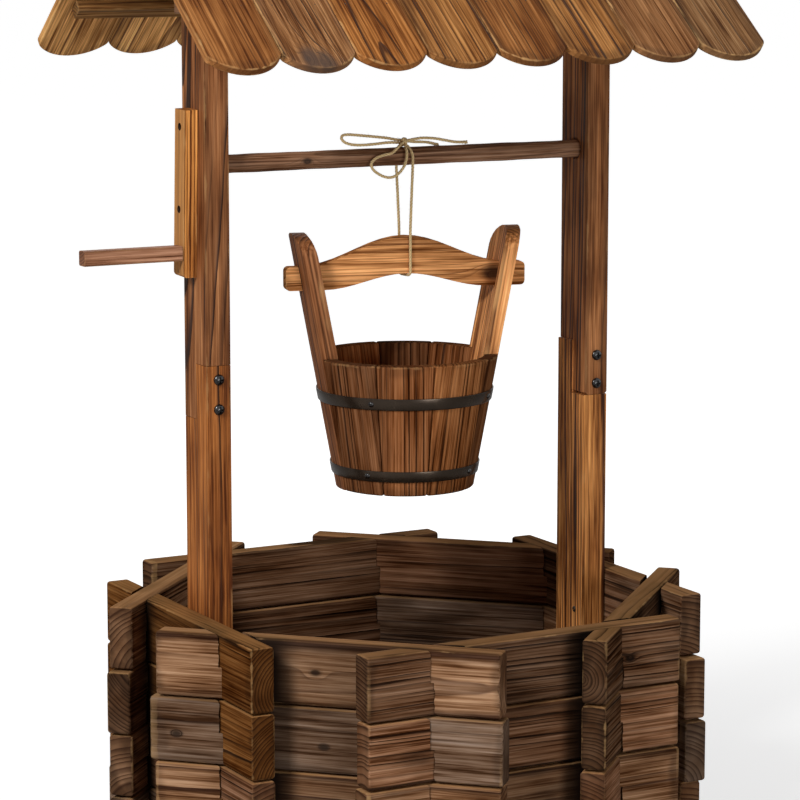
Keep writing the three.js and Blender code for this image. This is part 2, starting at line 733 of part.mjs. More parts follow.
// Over the rod from its front to its back, ending just above the rod's axis at each side.
function ringRoute() {
  const lowest = Math.asin(ringFoot / ringRadius);
  const steps = 12;
  return Array.from({ length: steps + 1 }, (_, i) => {
    const angle = lowest + ((Math.PI - lowest * 2) * i) / steps;
    const x = strandFrontX + ((strandRearX - strandFrontX) * i) / steps;
    return [x, -ringRadius * Math.cos(angle), ringRadius * Math.sin(angle)];
  });
}

// Where the turn round the yoke leaves it, seen in the bucket's frame and from the rod.
function wrapLeg(side) {
  return new THREE.Vector3(-side * wrapSlant, side * wrapOffset, 0);
}

function addStrand(name, side, x) {
  const leg = wrapLeg(side).applyAxisAngle(zAxis, bucketAngle);
  const foot = strandFoot - rodHeight;
  const route = [
    [x, side * ringRadius, -strandHead],
    [x, side * ringRadius, -strandHead - rodRadius],
    [(x + leg.x) / 2, (side * ringRadius + leg.y) / 2, foot / 2],
    [leg.x, leg.y, foot + yokeCorner],
    [leg.x, leg.y, foot],
  ];
  addPiece(name, "twineJute", tube(route, 16), twine);
}

// Down the yoke's front, under it and up its back, slanting along it on the way.
function wrapRoute() {
  const top = strandFoot - fit;
  const under = yokeFoot + yokeArch - twineYokeGap - twineRadius;
  const [y, z] = [wrapBend - wrapOffset, under + wrapBend];
  const steps = 4;
  const corner = Array.from({ length: steps + 1 }, (_, i) => {
    const angle = (Math.PI / 2) * (i / steps);
    return [y - wrapBend * Math.cos(angle), z - wrapBend * Math.sin(angle)];
  });
  const front = [[-wrapOffset, top], [-wrapOffset, (top + under) / 2], ...corner];
  const back = front.map(([y, z]) => [-y, z]).reverse();
  return [...front, ...back].map(([y, z]) => [(-wrapSlant * y) / wrapOffset, y, z]);
}

function addTwine() {
  const knot = new THREE.SphereGeometry(knotRadius, 10, 8).translate(...knotPlace);
  const loops = [tube(leftLoopRoute, 24), tube(lowerLoopRoute, 24)];
  const tails = [tube(longTailRoute, 12), tube(shortTailRoute, 8)];
  addPiece("twine_bow", "twineJute", join([solidOf(knot), tube(ringRoute(), 12), ...loops, ...tails]), twine);
  addStrand("twine_strand_front", -1, strandFrontX);
  addStrand("twine_strand_rear", 1, strandRearX);
  addPiece("twine_wrap", "twineJute", tube(wrapRoute(), 36), bucket);
}

addWalls();
addFloor();
addPost("post_left", -1, leftLapDrop, -1, 0);
addPost("post_right", 1, rightLapDrop, 1, rightLowerExtra);
addBolts("bolt_left", -1, leftLapDrop);
addBolts("bolt_right", 1, rightLapDrop);
addRod();
addCrank();
addSlope("front", -1);
addSlope("back", 1);
addGable("gable_plate_left", -1);
addGable("gable_plate_right", 1);
addEar("bucket_ear_right", 0, earHeight);
addEar("bucket_ear_left", 180, earHeight - leftEarDrop);
addStaves();
addBottom();
addHoop("hoop_upper", rimHeight - upperHoopDrop, upperHoopWidth);
addHoop("hoop_lower", footHeight + lowerHoopRise, lowerHoopWidth);
addYoke();
addTwine();

export default planter;
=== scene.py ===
# Wishing well planter: its looks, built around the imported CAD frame. Metres, +Z up, front towards -Y.
import math

import bmesh
import bpy
import numpy as np
from mathutils import Matrix


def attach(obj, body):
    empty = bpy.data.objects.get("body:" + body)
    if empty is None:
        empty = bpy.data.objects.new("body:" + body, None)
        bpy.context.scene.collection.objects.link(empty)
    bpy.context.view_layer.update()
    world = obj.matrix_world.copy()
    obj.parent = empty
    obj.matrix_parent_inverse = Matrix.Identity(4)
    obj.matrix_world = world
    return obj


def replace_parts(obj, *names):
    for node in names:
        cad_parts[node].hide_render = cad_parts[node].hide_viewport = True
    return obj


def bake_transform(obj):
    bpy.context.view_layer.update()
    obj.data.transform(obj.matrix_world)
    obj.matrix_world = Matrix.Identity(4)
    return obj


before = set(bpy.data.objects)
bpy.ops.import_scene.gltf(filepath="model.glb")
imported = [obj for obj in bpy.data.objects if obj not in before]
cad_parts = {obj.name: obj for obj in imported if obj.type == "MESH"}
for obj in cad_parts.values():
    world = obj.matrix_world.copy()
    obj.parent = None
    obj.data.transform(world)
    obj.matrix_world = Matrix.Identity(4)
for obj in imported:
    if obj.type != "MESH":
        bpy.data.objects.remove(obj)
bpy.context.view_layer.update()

# Camera
# It stands where the photograph was taken from: left of the front, and a little under the eaves.
camera_place = (-1.6366, -3.0128, 1.0430)
camera_dip, camera_turn = 9.12, 28.48  # degrees below level, and towards the right
camera = bpy.data.objects.new("camera", bpy.data.cameras.new("camera"))
camera.data.sensor_width = 36
camera.data.lens = 141.53
camera.location = camera_place
camera.rotation_euler = (math.radians(90 - camera_dip), 0, math.radians(-camera_turn))
bpy.context.scene.collection.objects.link(camera)
bpy.context.scene.camera = camera

# Base boards
# Thirty-two boards of carbonised, brushed fir, four to each side of an octagon. Near both ends half of the
# height is sawn away, so that a board locks with its neighbours where their ends cross and stick out.
sides, courses = 8, 4
base_radius = 0.285  # axis to the middle of a corner joint
board_thick, board_height, board_stub = 0.027, 0.06975, 0.078
course_gap, joint_gap, lap_gap = 0.001, 0.0017, 0.0003
course_shy = 0.0006  # how far a board stays off its course's seams
board_rounding = 0.0045
wall_offset = base_radius * math.cos(math.pi / sides)
wall_half = base_radius * math.sin(math.pi / sides)
course_pitch = board_height + course_gap
base_height = course_pitch * courses - course_gap


class Field:
    """A number at each point of a surface, as a node gives it. Sums, products and the like add nodes."""

    def __init__(self, socket):
        self.socket = socket

    def math(self, operation, *others):
        given = enumerate((self, *others))
        return Field(new_node(self.socket.id_data, "Math", given, operation=operation).outputs[0])

    def __add__(self, other):
        return self.math("ADD", other)

    def __sub__(self, other):
        return self.math("SUBTRACT", other)

    def __mul__(self, other):
        return self.math("MULTIPLY", other)

    def __truediv__(self, other):
        return self.math("DIVIDE", other)

    def __pow__(self, other):
        return self.math("POWER", other)

    def __abs__(self):
        return self.math("ABSOLUTE")

    def root(self):
        return self.math("SQRT")

    def at_most(self, other):
        return self.math("MINIMUM", other)

    def at_least(self, other):
        return self.math("MAXIMUM", other)

    def rise(self, low, high):
        """0 below low, 1 above high, and a smooth step between them."""
        given = {"From Min": low, "From Max": high, "Value": self}
        node = new_node(self.socket.id_data, "MapRange", given, interpolation_type="SMOOTHSTEP")
        return Field(node.outputs["Result"])

    def fall(self, low, high):
        return self.rise(low, high).math("MULTIPLY_ADD", -1, 1)


def feed(node, given):
    """Gives each named or numbered input of a node a field, an output, a number or a colour."""
    for slot, value in dict(given).items():
        value = value.socket if isinstance(value, Field) else value
        if isinstance(value, bpy.types.NodeSocket):
            node.id_data.links.new(value, node.inputs[slot])
        else:
            node.inputs[slot].default_value = value


def new_node(tree, kind, given=(), **options):
    """A node of a kind, with its options set and its inputs fed."""
    node = tree.nodes.new("ShaderNode" + kind)
    for option, value in options.items():
        setattr(node, option, value)
    feed(node, given)
    return node


def parts_of(socket):
    """The three numbers of a vector."""
    return [Field(out) for out in new_node(socket.id_data, "SeparateXYZ", {0: socket}).outputs]


def own_place(tree):
    """Where a point lies in its object."""
    return parts_of(new_node(tree, "TexCoord").outputs["Object"])


def cloud(x, y, z, detail=2):
    """Smooth random field from 0 to 1 over three coordinates."""
    tree = x.socket.id_data
    place = new_node(tree, "CombineXYZ", enumerate((x, y, z))).outputs[0]
    return Field(new_node(tree, "TexNoise", {"Vector": place, "Scale": 1, "Detail": detail}).outputs["Fac"])


def blend_paint(tree, amount, first, second, kind="MIX"):
    """One colour laid over another, by a field or a number. A colour is an output or four numbers."""
    given = {0: amount, 6: first, 7: second}
    return new_node(tree, "Mix", given, data_type="RGBA", blend_type=kind).outputs[2]


def paint(red, green, blue):
    """Linear colour of a screen colour given in steps of 255."""
    steps = np.array([red, green, blue]) / 255
    linear = np.where(steps < 0.04045, steps / 12.92, ((steps + 0.055) / 1.055) ** 2.4)
    return (*linear.tolist(), 1.0)


def stain(early, late, char):
    """A wood's three colours: its earlywood, its latewood, and where it is scorched."""
    return paint(*early), paint(*late), paint(*char)


def new_finish(name, given=()):
    """A new material, and its shader with what it is given."""
    material = bpy.data.materials.new(name)
    material.use_nodes = True
    shader = material.node_tree.nodes["Principled BSDF"]
    feed(shader, given)
    return material, shader


def emboss(shader, height):
    """Makes a shader's surface stand as high as a field says, in metres."""
    bump = new_node(shader.id_data, "Bump", {"Distance": 1.0, "Height": height})
    feed(shader, {"Normal": bump.outputs["Normal"]})


def grow_fir():
    """Node group of the wood. A board's own X runs along its grain, and it is cut from a log whose heart
    lies at a given place. The year rings are circles about the heart, waved by clouds and bent round its
    knots, so that lines on the faces, flames and the rings on the ends belong together. Latewood is dark
    and stands proud. Each ring has a strength and a width of its own, and fades in and out along the
    board. The scorching is deepest in patches along the edges, and in places the arrises are lighter,
    partly rubbed and partly a painted highlight. A painted highlight lightens one narrow face, and painted
    shade darkens the middle of a board where its neighbours' ends stand before it."""
    tree = bpy.data.node_groups.new("carbonised_fir", "ShaderNodeTree")
    given_sockets = {
        "Vector": "place facing half heart lean knot second_knot",
        "Float": "ring wave line end_line knot_size charring recess recess_side worn crown curve",
        "Color": "early late char",
    }
    for kind, names in given_sockets.items():
        for name in names.split():
            tree.interface.new_socket(name=name, in_out="INPUT", socket_type="NodeSocket" + kind)
    for name, kind in (("colour", "Color"), ("roughness", "Float"), ("height", "Float")):
        tree.interface.new_socket(name=name, in_out="OUTPUT", socket_type="NodeSocket" + kind)
    given = tree.nodes.new("NodeGroupInput").outputs
    made = tree.nodes.new("NodeGroupOutput")

    def number(name):
        return Field(given[name])

    def chance(share):
        return Field(new_node(tree, "TexWhiteNoise", {"W": share}, noise_dimensions="1D").outputs["Value"])

    def off_knot(name):
        kx, ky, kz = parts_of(given[name])
        return ((x - kx) / 1.7) ** 2 + (y - ky) ** 2 + (z - kz) ** 2

    x, y, z = parts_of(given["place"])
    seed, heart_y, heart_z = parts_of(given["heart"])
    _, lean_y, lean_z = parts_of(given["lean"])
    knot_size, charring, along = number("knot_size"), number("charring"), x + seed

    # The year rings: how far each point is from the log's heart, and where in its year.
    off = off_knot("knot").at_most(off_knot("second_knot"))
    knot = (off / (knot_size * knot_size + 1e-8) + 1) ** -1.5
    drift = cloud(along * 3.2, y * 13, z * 13) - 0.5
    ripple = cloud(along * 20, y * 55, z * 55) - 0.5
    across = (y - heart_y - lean_y * x) ** 2 + (z - heart_z - lean_z * x) ** 2
    radius = across.root() + drift * number("wave") + ripple * 0.0016 + knot * knot_size * 1.6
    spread = cloud(radius * 60, seed, seed, 2) - 0.5
    phase = radius / number("ring") + spread * 3.6 + 20
    year = phase.math("FLOOR")
    share = phase - year
    strength = chance(year + seed) ** 2 * 1.7 + 0.22
    fade = cloud(along * 6 + 4, radius * 110, seed, 2).rise(0.3, 0.62) * 0.75 + 0.25
    width = chance(year * 1.37 + seed + 5) * 4 + 1.6
    late = share ** width * share.fall(0.86, 1.0) * strength * fade * number("line")
    nx, ny, _ = parts_of(given["facing"])
    end, flat = abs(nx).rise(0.6, 0.85), abs(nx).fall(0.6, 0.85)
    late = late * flat + share ** 2.2 * share.fall(0.8, 1.0) * end * number("end_line")

    # The grain: fibres, brush strokes and patches that shade the two colours of the rings.
    fibre = (cloud(along * 14, y * 760, z * 760, 2) - 0.5) * flat
    brush = (cloud(along * 7, y * 270, z * 270, 3) - 0.5) * flat
    patch = cloud(along * 9, y * 26, z * 26, 4)
    burn = cloud(along * 7 + 9, y * 17, z * 17, 3)
    dark = late * (brush * 1.8 + 1.7)
    shade = (fibre * 2.0 + brush * 3.0 + patch * 2.1 - 0.05).at_least(0.25)
    tone = new_node(tree, "CombineColor", enumerate([shade ** power for power in (1.0, 1.25, 1.5)]))
    colour = blend_paint(tree, dark.at_most(1), given["early"], given["late"])
    colour = blend_paint(tree, 1, colour, tone.outputs[0], "MULTIPLY")

    # The scorching: in patches, at knots and on the ends. Then painted shadow on the middle of the outer
    # face, where the neighbouring boards' ends stand before it and their shadow falls.
    scorch = (burn + (charring - 0.5) * 0.5).rise(0.5, 0.78) * charring.rise(0, 0.1)
    colour = blend_paint(tree, scorch * 0.8, colour, given["char"])
    colour = blend_paint(tree, knot.rise(0.3, 0.85) * 0.85, colour, given["char"])
    colour = blend_paint(tree, end * 0.3, colour, given["late"])
    # Painted shadow: darkest beside the neighbouring ends, and moved towards the side their shadow falls
    # on.
    corner = abs(x + number("recess_side")).rise(0.042, 0.076)
    painted_recess_shade = abs(x).fall(0.097, 0.116) * (corner * 1.3 + 0.72) * number("recess")
    colour = blend_paint(tree, painted_recess_shade * z.rise(-0.008, 0.006), colour, given["char"])

    # The edges: singed in patches, except on the narrow face on its own -Y (a base board's upper face),
    # which is lightened instead by a painted highlight; and lighter along the arrises, partly rubbed and
    # partly a painted highlight.
    half_x, half_y, half_z = parts_of(given["half"])
    curve = number("curve")
    far = curve - ((x - half_x + curve).at_least(0) ** 2 + y * y).root()
    gap_x, gap_y, gap_z = (half_x + x).at_most(far), half_y - abs(y), half_z - abs(z)
    edge = gap_x.at_most(gap_y).at_least(gap_x.at_least(gap_y).at_most(gap_z))
    crown = ny.fall(-0.85, -0.55) * number("crown")
    singed = (edge + (burn - 0.5) * 0.06).fall(0.0, 0.010) * charring.at_most(0.6) * (crown * -1 + 1)
    colour = blend_paint(tree, singed, colour, given["char"])
    # Painted highlight: the narrow face on its own -Y is blended towards this light tan, as where the light
    # falls on it.
    bare = blend_paint(tree, 0.55, given["early"], paint(206, 154, 98))
    painted_face_highlight = crown * (patch * 0.5 + 0.35) * (dark * -0.8 + 1).at_least(0.15)
    colour = blend_paint(tree, painted_face_highlight, colour, bare)
    # Partly wear, partly painted highlight: the arrises are lightened in patches, as rubbed wood and as
    # light caught on the rounding.
    ragged = cloud(along * 60, y * 120, z * 120, 3) - 0.5
    rubbed = cloud(along * 16 + 3, y * 8, z * 8, 2).rise(0.42, 0.62)
    wear_and_highlight = (edge + ragged * 0.006).fall(0.0002, 0.0021) * rubbed * number("worn")
    colour = blend_paint(tree, wear_and_highlight, colour, blend_paint(tree, 0.6, given["early"], paint(230, 184, 124)))

    rough = fibre * 0.16 + late * -0.12 + wear_and_highlight * 0.1 + 0.62
    height = late * 0.0007 + fibre * 0.0003 + brush * 0.00045 - scorch * 0.0001
    feed(made, {"colour": colour, "roughness": rough, "height": height})
    return tree


fir = grow_fir()


def lay(along, outwards):
    """Turn of a board's own axes in the frame: X along the grain and Z out of its face."""
    x = np.array(along, float) / np.linalg.norm(along)
    z = np.array(outwards, float) - np.dot(outwards, x) * x
    z /= np.linalg.norm(z)
    return Matrix(np.column_stack([x, np.cross(z, x), z]).tolist()).to_euler()


# What a board has where nothing else is said.
usual_fir = {
    "ring": 0.0045, "wave": 0.007, "line": 1.0, "end_line": 0.9, "knot_size": 0.0, "charring": 0.0,
    "recess": 0.0, "recess_side": 0.0, "worn": 0.5, "crown": 0.0, "curve": 10.0,
}


def fir_finish(name, centre, turn, half, tones, heart, seed, lean=(0, 0), knots=(), gloss=0.12, coat=0.0,
               **others):
    """Material of one board. centre and turn place the board's own axes, half is half its size along
    them, heart the log's middle across them, and lean how far the log strays from it. tones are its
    earlywood, latewood and scorched colours, and knots the places of up to two knots. Among the others,
    ring is the width of a year, wave how far the rings stray, line and end_line how strong they are along
    the grain and on the ends, recess how much painted shade darkens the middle, where the neighbouring
    boards' ends stand before it, recess_side how far its darkest places are moved towards where their
    shadow falls, crown how strongly a painted highlight lightens the narrow face on its own -Y, and
    curve the radius of a rounded end."""
    material, shader = new_finish(name, {"Specular IOR Level": gloss, "Coat Weight": coat})
    tree = material.node_tree
    source = new_node(tree, "TexCoord").outputs
    knots = knots or [(9, 9, 9)]  # far off
    values = {
        "half": half, "heart": (seed, *heart), "lean": (0, *lean), "early": tones[0], "late": tones[1],
        "char": tones[2], "knot": knots[0], "second_knot": knots[-1], **usual_fir, **others,
    }
    for slot, output, place in (("place", "Object", centre), ("facing", "Normal", (0, 0, 0))):
        moved = {"Vector": source[output], "Location": place, "Rotation": turn}
        values[slot] = new_node(tree, "Mapping", moved, vector_type="TEXTURE").outputs["Vector"]
    grain = new_node(tree, "Group", node_tree=fir)
    feed(grain, values)
    feed(shader, {"Base Color": grain.outputs["colour"], "Roughness": grain.outputs["roughness"]})
    emboss(shader, grain.outputs["height"])
    return material


def make_piece(name, points, faces, material, body="root", smooth=30):
    """A new piece from its points and faces, with faces outwards, riding on a body."""
    mesh = bpy.data.meshes.new(name)
    mesh.from_pydata(np.asarray(points, float).tolist(), [], [list(map(int, face)) for face in faces])
    shape = bmesh.new()
    shape.from_mesh(mesh)
    bmesh.ops.recalc_face_normals(shape, faces=shape.faces)
    shape.to_mesh(mesh)
    shape.free()
    mesh.shade_smooth()
    mesh.set_sharp_from_angle(angle=math.radians(smooth))
    piece = bpy.data.objects.new(name, mesh)
    bpy.context.scene.collection.objects.link(piece)
    mesh.materials.append(material)
    if body:
        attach(piece, body)
    return piece


def slab_faces(count):
    """Faces between two outlines of as many corners: a quad from each to the next, and both ends."""
    i = np.arange(count)
    j = (i + 1) % count
    return [i, i[::-1] + count, *np.column_stack([i, j, j + count, i + count])]


def round_edges(piece, width, rings=3, angle=35):
    """Rounds the piece's edges, and keeps its faces flat up to them."""
    bevel = piece.modifiers.new("rounding", "BEVEL")
    bevel.width = width
    bevel.segments = rings
    bevel.limit_method = "ANGLE"
    bevel.angle_limit = math.radians(angle)
    bevel.harden_normals = True
    return bevel


def board_outline(depth, reach_left, reach_right, rough_cut):
    """Corners of a base board in a plane that lies a depth outside its middle: along it to the left, and
    up. The neighbours cross it at an eighth of a turn, so the sides of a notch stray by as much as the
    depth. Each side of a notch is a ragged cut: rough_cut gives how far it strays at even steps. The
    second result is how much of the rounding the edge from each corner to the next has, and the third
    that of the corner itself."""
    notch = (board_thick / 2 + joint_gap) / math.sin(math.pi / 4)
    left, right = wall_half - depth, -wall_half + depth
    middle = board_height / 2
    foot, top = course_shy, board_height - course_shy
    low, high = middle - lap_gap / 2, middle + lap_gap / 2
    steps = np.linspace(0, 1, rough_cut.shape[1])
    cuts = [(right - notch, foot, high), (right + notch, high, foot),
            (left + notch, top, low), (left - notch, low, top)]
    notch_sides = [np.column_stack([at + stray, start + (stop - start) * steps])
                   for (at, start, stop), stray in zip(cuts, rough_cut)]
    left_end, right_end = wall_half + reach_left, -wall_half - reach_right
    corners = np.vstack([[right_end, foot], *notch_sides[:2], [left_end, foot], [left_end, top],
                         *notch_sides[2:], [right_end, top]])
    cut = np.zeros(2 * len(steps))
    along = np.r_[1, cut[1:], 1, 0.8, 1, cut[1:], 1, 0.8]
    across = np.r_[0.8, cut, 0.8, 0.8, cut, 0.8]
    return corners, along, across


def round_board(piece, along, across, width):
    """Rounds a board's long edges and ends, and leaves its saw cuts sharp."""
    count = len(along)
    mesh = piece.data
    pairs = np.zeros(len(mesh.edges) * 2, int)
    mesh.edges.foreach_get("vertices", pairs)
    first, second = pairs.reshape(-1, 2).T
    low, high = np.minimum(first % count, second % count), np.maximum(first % count, second % count)
    closing = (low == 0) & (high == count - 1)
    weight = np.where(low == high, across[low], np.where(closing, along[-1], along[low]))
    layer = mesh.attributes.new("bevel_weight_edge", "FLOAT", "EDGE")
    layer.data.foreach_set("value", weight.astype(np.float32))
    bevel = round_edges(piece, width, 4)
    bevel.limit_method = "WEIGHT"
    bevel.use_clamp_overlap = False


tan = stain((150, 110, 79), (74, 48, 34), (40, 29, 23))
dusk = stain((118, 84, 60), (52, 35, 25), (32, 24, 19))
smoke = stain((121, 94, 74), (66, 49, 39), (42, 33, 28))
earthen = stain((150, 106, 76), (62, 41, 28), (40, 29, 22))
sable = stain((96, 67, 46), (44, 30, 21), (28, 21, 17))
# The next stain, on side 5's boards, is their own orange-brown made darker as painted shade, for the shadow
# cast on them by side 6's boards.
ochre = stain((112, 69, 33), (50, 29, 15), (32, 22, 15))
cocoa = stain((128, 88, 62), (60, 39, 27), (36, 26, 20))

# Each board that the front shows, by side and course: colours, heart down and outwards, ring, line, knots.
board_looks = {
    (6, 4): (tan, (0.004, -0.034), 0.0056, 1.0, ((0.011, -0.002, 0.0135),)),
    (6, 3): (smoke, (0.012, -0.036), 0.0046, 0.8, ((0.165, 0.004, 0.0135), (0.002, 0.006, 0.0135))),
    (6, 2): (tan, (0.085, -0.03), 0.0080, 1.2, ()),
    (6, 1): (cocoa, (0.10, -0.03), 0.0080, 1.0, ()),
    (7, 4): (dusk, (0.100, -0.02), 0.0038, 1.4, ((-0.125, 0.003, 0.0135),)),
    (7, 3): (earthen, (0.055, 0.002), 0.0058, 1.4, ()),
    (7, 2): (tan, (0.070, -0.01), 0.0085, 1.0, ()),
    (7, 1): (dusk, (0.12, -0.02), 0.0065, 1.0, ()),
    (5, 4): (ochre, (0.012, -0.034), 0.0038, 1.3, ()),
    (5, 3): (ochre, (0.050, -0.045), 0.0040, 1.4, ()),
    (5, 2): (cocoa, (0.05, -0.03), 0.0055, 1.1, ()),
    (8, 4): (sable, (0.006, -0.012), 0.0040, 1.2, ()),
    (8, 3): (sable, (0.044, -0.010), 0.0044, 1.2, ()),
    (8, 2): (cocoa, (0.05, -0.02), 0.0050, 1.0, ()),
    (4, 4): (tan, (0.05, -0.045), 0.0060, 1.2, ()),
    (4, 3): (dusk, (-0.06, -0.05), 0.0044, 1.1, ()),
    (1, 4): (dusk, (0.09, -0.03), 0.0050, 1.0, ()),
}
# How much longer than a plain stub the left and right ends of some boards are.
board_reaches = {
    (6, 4): (0.001, 0.000), (6, 3): (0.008, 0.003), (6, 2): (0.003, 0.001),
    (7, 4): (0.003, 0.002), (7, 3): (0.002, 0.001), (7, 2): (0.004, 0.003),
    (5, 4): (-0.001, 0.000), (5, 3): (0.001, 0.000), (5, 2): (-0.002, 0.001),
    (4, 3): (0.004, 0.006), (4, 2): (0.001, 0.002), (8, 4): (0.000, 0.001),
    (1, 3): (0.009, 0.000), (1, 2): (0.012, 0.000), (2, 4): (-0.006, 0.000),
    (3, 4): (0.000, 0.0065),
}
shadow_shifts = {6: 0.018, 7: -0.009}  # by side: how far the darkest painted shadow lies off the boards' middle
board_draw = np.random.default_rng(17)
for side in range(1, sides + 1):
    facing = 2 * math.pi / sides * (side - 1)
    outwards = np.array([math.cos(facing), math.sin(facing), 0])
    leftwards = np.array([math.sin(facing), -math.cos(facing), 0])
    for course in range(1, courses + 1):
        foot = (course - 1) * course_pitch
        drawn_reach = board_draw.uniform(-0.003, 0.003, 2)
        reaches = board_stub + np.array(board_reaches.get((side, course), drawn_reach))
        proud = board_draw.uniform(-0.0005, 0.0005)
        rough_cut = board_draw.uniform(-0.0008, 0.0008, (4, 8))
        outlines = []
        for depth in (board_thick / 2, -board_thick / 2):
            flat, along, across = board_outline(depth, *reaches, rough_cut)
            place = outwards * (wall_offset + depth + proud)
            outlines.append(place + flat[:, :1] * leftwards + (flat[:, 1:] + foot) * [0, 0, 1])
        name = f"base_board_{side}_{course}"
        centre = outwards * wall_offset + np.array([0, 0, foot + board_height / 2])
        drawn = ([tan, dusk, smoke, cocoa][board_draw.integers(4)],
                 (board_draw.uniform(0.04, 0.13), board_draw.uniform(-0.04, 0.0)),
                 board_draw.uniform(0.0045, 0.0075), board_draw.uniform(0.7, 1.2), ())
        tones, heart, ring, line, knots = board_looks.get((side, course), drawn)
        half = (wall_half + board_stub, board_height / 2, board_thick / 2)
        # Each board gets painted shade on its middle (recess), a painted highlight on its upper face
        # (crown), and arrises lightened partly by wear and partly as a painted highlight.
        finish = fir_finish(
            name, centre, lay(leftwards, outwards), half, tones, heart, seed=side * 3.1 + course * 1.7,
            ring=ring, lean=board_draw.uniform(-0.02, 0.02, 2), line=line, knots=knots, knot_size=0.0052,
            charring=board_draw.uniform(0.25, 0.5), recess=0.2 if tones is smoke else 0.5,
            recess_side=shadow_shifts.get(side, 0.0), crown=1.0, gloss=0.0)
        board = make_piece(name, np.vstack(outlines), slab_faces(len(outlines[0])), finish)
        round_board(board, along, across, board_rounding * board_draw.uniform(0.75, 1.1))
        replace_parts(board, f"wall_{side}")

# Floor
# Seven slats are nailed across three bearers, low inside the base. They are sawn from the same fir as the
# walls, and left duller than what shows from outside.


def dress_node(name, material, rounding, angle=35):
    """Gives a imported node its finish. Its loose triangles are welded and joined in each plane, and its
    edges rounded, all by modifiers, so the node's own mesh stays as it was packed."""
    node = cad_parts[name]
    node.data.materials.clear()
    node.data.materials.append(material)
    weld = node.modifiers.new("weld", "WELD")
    weld.merge_threshold = 2e-5
    planes = node.modifiers.new("planes", "DECIMATE")
    planes.decimate_type = "DISSOLVE"
    planes.angle_limit = math.radians(0.4)
    round_edges(node, rounding, 2, angle)


no_edges = (1, 1, 0)  # half size of a piece whose arrises have neither wear nor painted highlight
dress_node("floor_slats", fir_finish(
    "floor_fir", (0, 0, 0.02), lay((0, 1, 0), (0, 0, 1)), no_edges, dusk, (0.06, -0.08), seed=5.3,
    ring=0.006, charring=0.3, worn=0), 0.0008)

# Posts
# Two posts of carbonised fir stand inside the left and right walls and carry the rod and the roof.
# Each is an upper and a lower piece, half-lapped and bolted. The grain runs up them.
post_x, post_width, post_depth = 0.23541, 0.028, 0.055
russet = stain((144, 90, 52), (58, 34, 22), (36, 25, 19))
ember = stain((160, 94, 44), (62, 34, 18), (36, 25, 19))
walnut = stain((166, 106, 62), (70, 40, 24), (38, 26, 20))
honey = stain((204, 134, 72), (86, 48, 26), (40, 27, 20))
upright = lay((0, 0, 1), (0, -1, 0))  # own Y towards -X, own Z towards the front
post_half = (0.5, post_width / 2, post_depth / 2)
# Each piece's place, colours, heart across and forwards, ring, lean, line and charring.
post_looks = [
    ("post_left_upper", -post_x, 0.70, russet, (0.045, -0.026), 0.0094, (-0.085, 0.0), 2.3, 0.22),
    ("post_left_lower", -post_x, 0.28, ember, (0.05, -0.03), 0.0052, (0.02, 0.01), 1.1, 0.15),
    ("post_right_upper", post_x, 0.70, walnut, (0.035, -0.034), 0.0050, (-0.012, 0.01), 1.2, 0.35),
    ("post_right_lower", post_x, 0.28, honey, (0.06, -0.034), 0.0041, (0.004, 0.0), 1.9, 0.08),
]
for name, x, z, tones, heart, ring, lean, line, charring in post_looks:
    finish = fir_finish(
        name + "_fir", (x, 0, z), upright, post_half, tones, heart, seed=x * 9 + z, ring=ring, lean=lean,
        wave=0.009, line=line, charring=charring, worn=0.4)
    dress_node(name, finish, 0.0021)

# Splice bolts
# Four black machine bolts, two through each splice: a domed head with a cross recess in front, and behind
# a hexagonal nut with the thread's end showing. They are steel, painted black and glossy.
bolt_head, bolt_head_height, bolt_shank = 0.006, 0.004, 0.003
nut_radius, nut_height, bolt_tail, bolt_bevel = 0.0058, 0.005, 0.002, 0.0006
bolt_front = -post_depth / 2 - 0.0003
bolt_places = {
    "bolt_left_upper": (-post_x, 0.536), "bolt_left_lower": (-post_x, 0.504),
    "bolt_right_upper": (post_x, 0.530), "bolt_right_lower": (post_x, 0.498),
}


def black_steel(name, base, rough, grain, given):
    """Painted or blackened steel with small dents and rubbed spots, as many to a metre as grain says."""
    material, shader = new_finish(name, given)
    tree = material.node_tree
    x, y, z = own_place(tree)
    mottle = cloud(x * grain, y * grain, z * grain, 4)
    fine = cloud(x * grain * 6, y * grain * 6, z * grain * 6, 2)
    rubbed = (*(1.3 * c for c in base[:3]), 1.0)
    feed(shader, {"Base Color": blend_paint(tree, mottle.rise(0.4, 0.75), base, rubbed),
                  "Roughness": mottle * 0.1 + fine * 0.04 + rough - 0.07})
    emboss(shader, mottle * 0.00004 + fine * 0.00001)
    return material


def full_turn(count):
    """Even steps of angle once round."""
    return np.linspace(0, 2 * math.pi, count, endpoint=False)


def turned(profile, count):
    """Points of a solid of revolution about Z: every radius and height of the profile, at each of so many
    steps round. Profile points on the axis stay as many points in one place until they are merged."""
    radius, height = np.array(profile, float).T
    angle = full_turn(count)[:, None]
    return np.stack([radius * np.cos(angle), radius * np.sin(angle), height + 0 * angle], axis=-1)


def grid_faces(grid, start=0, ends=(False, False)):
    """Quads of a grid whose rows follow each other round, and whose columns run from first to last. ends
    says whether the first and the last column are closed by a face of their own."""
    rows, columns = grid.shape[:2]
    i, j = np.meshgrid(np.arange(rows), np.arange(columns - 1), indexing="ij")
    k = (i + 1) % rows
    quads = np.stack([i * columns + j, k * columns + j, k * columns + j + 1, i * columns + j + 1], axis=-1)
    rim = np.arange(rows) * columns + start
    closing = [face for face, asked in zip((rim, rim[::-1] + columns - 1), ends) if asked]
    return [*(quads.reshape(-1, 4) + start), *closing]


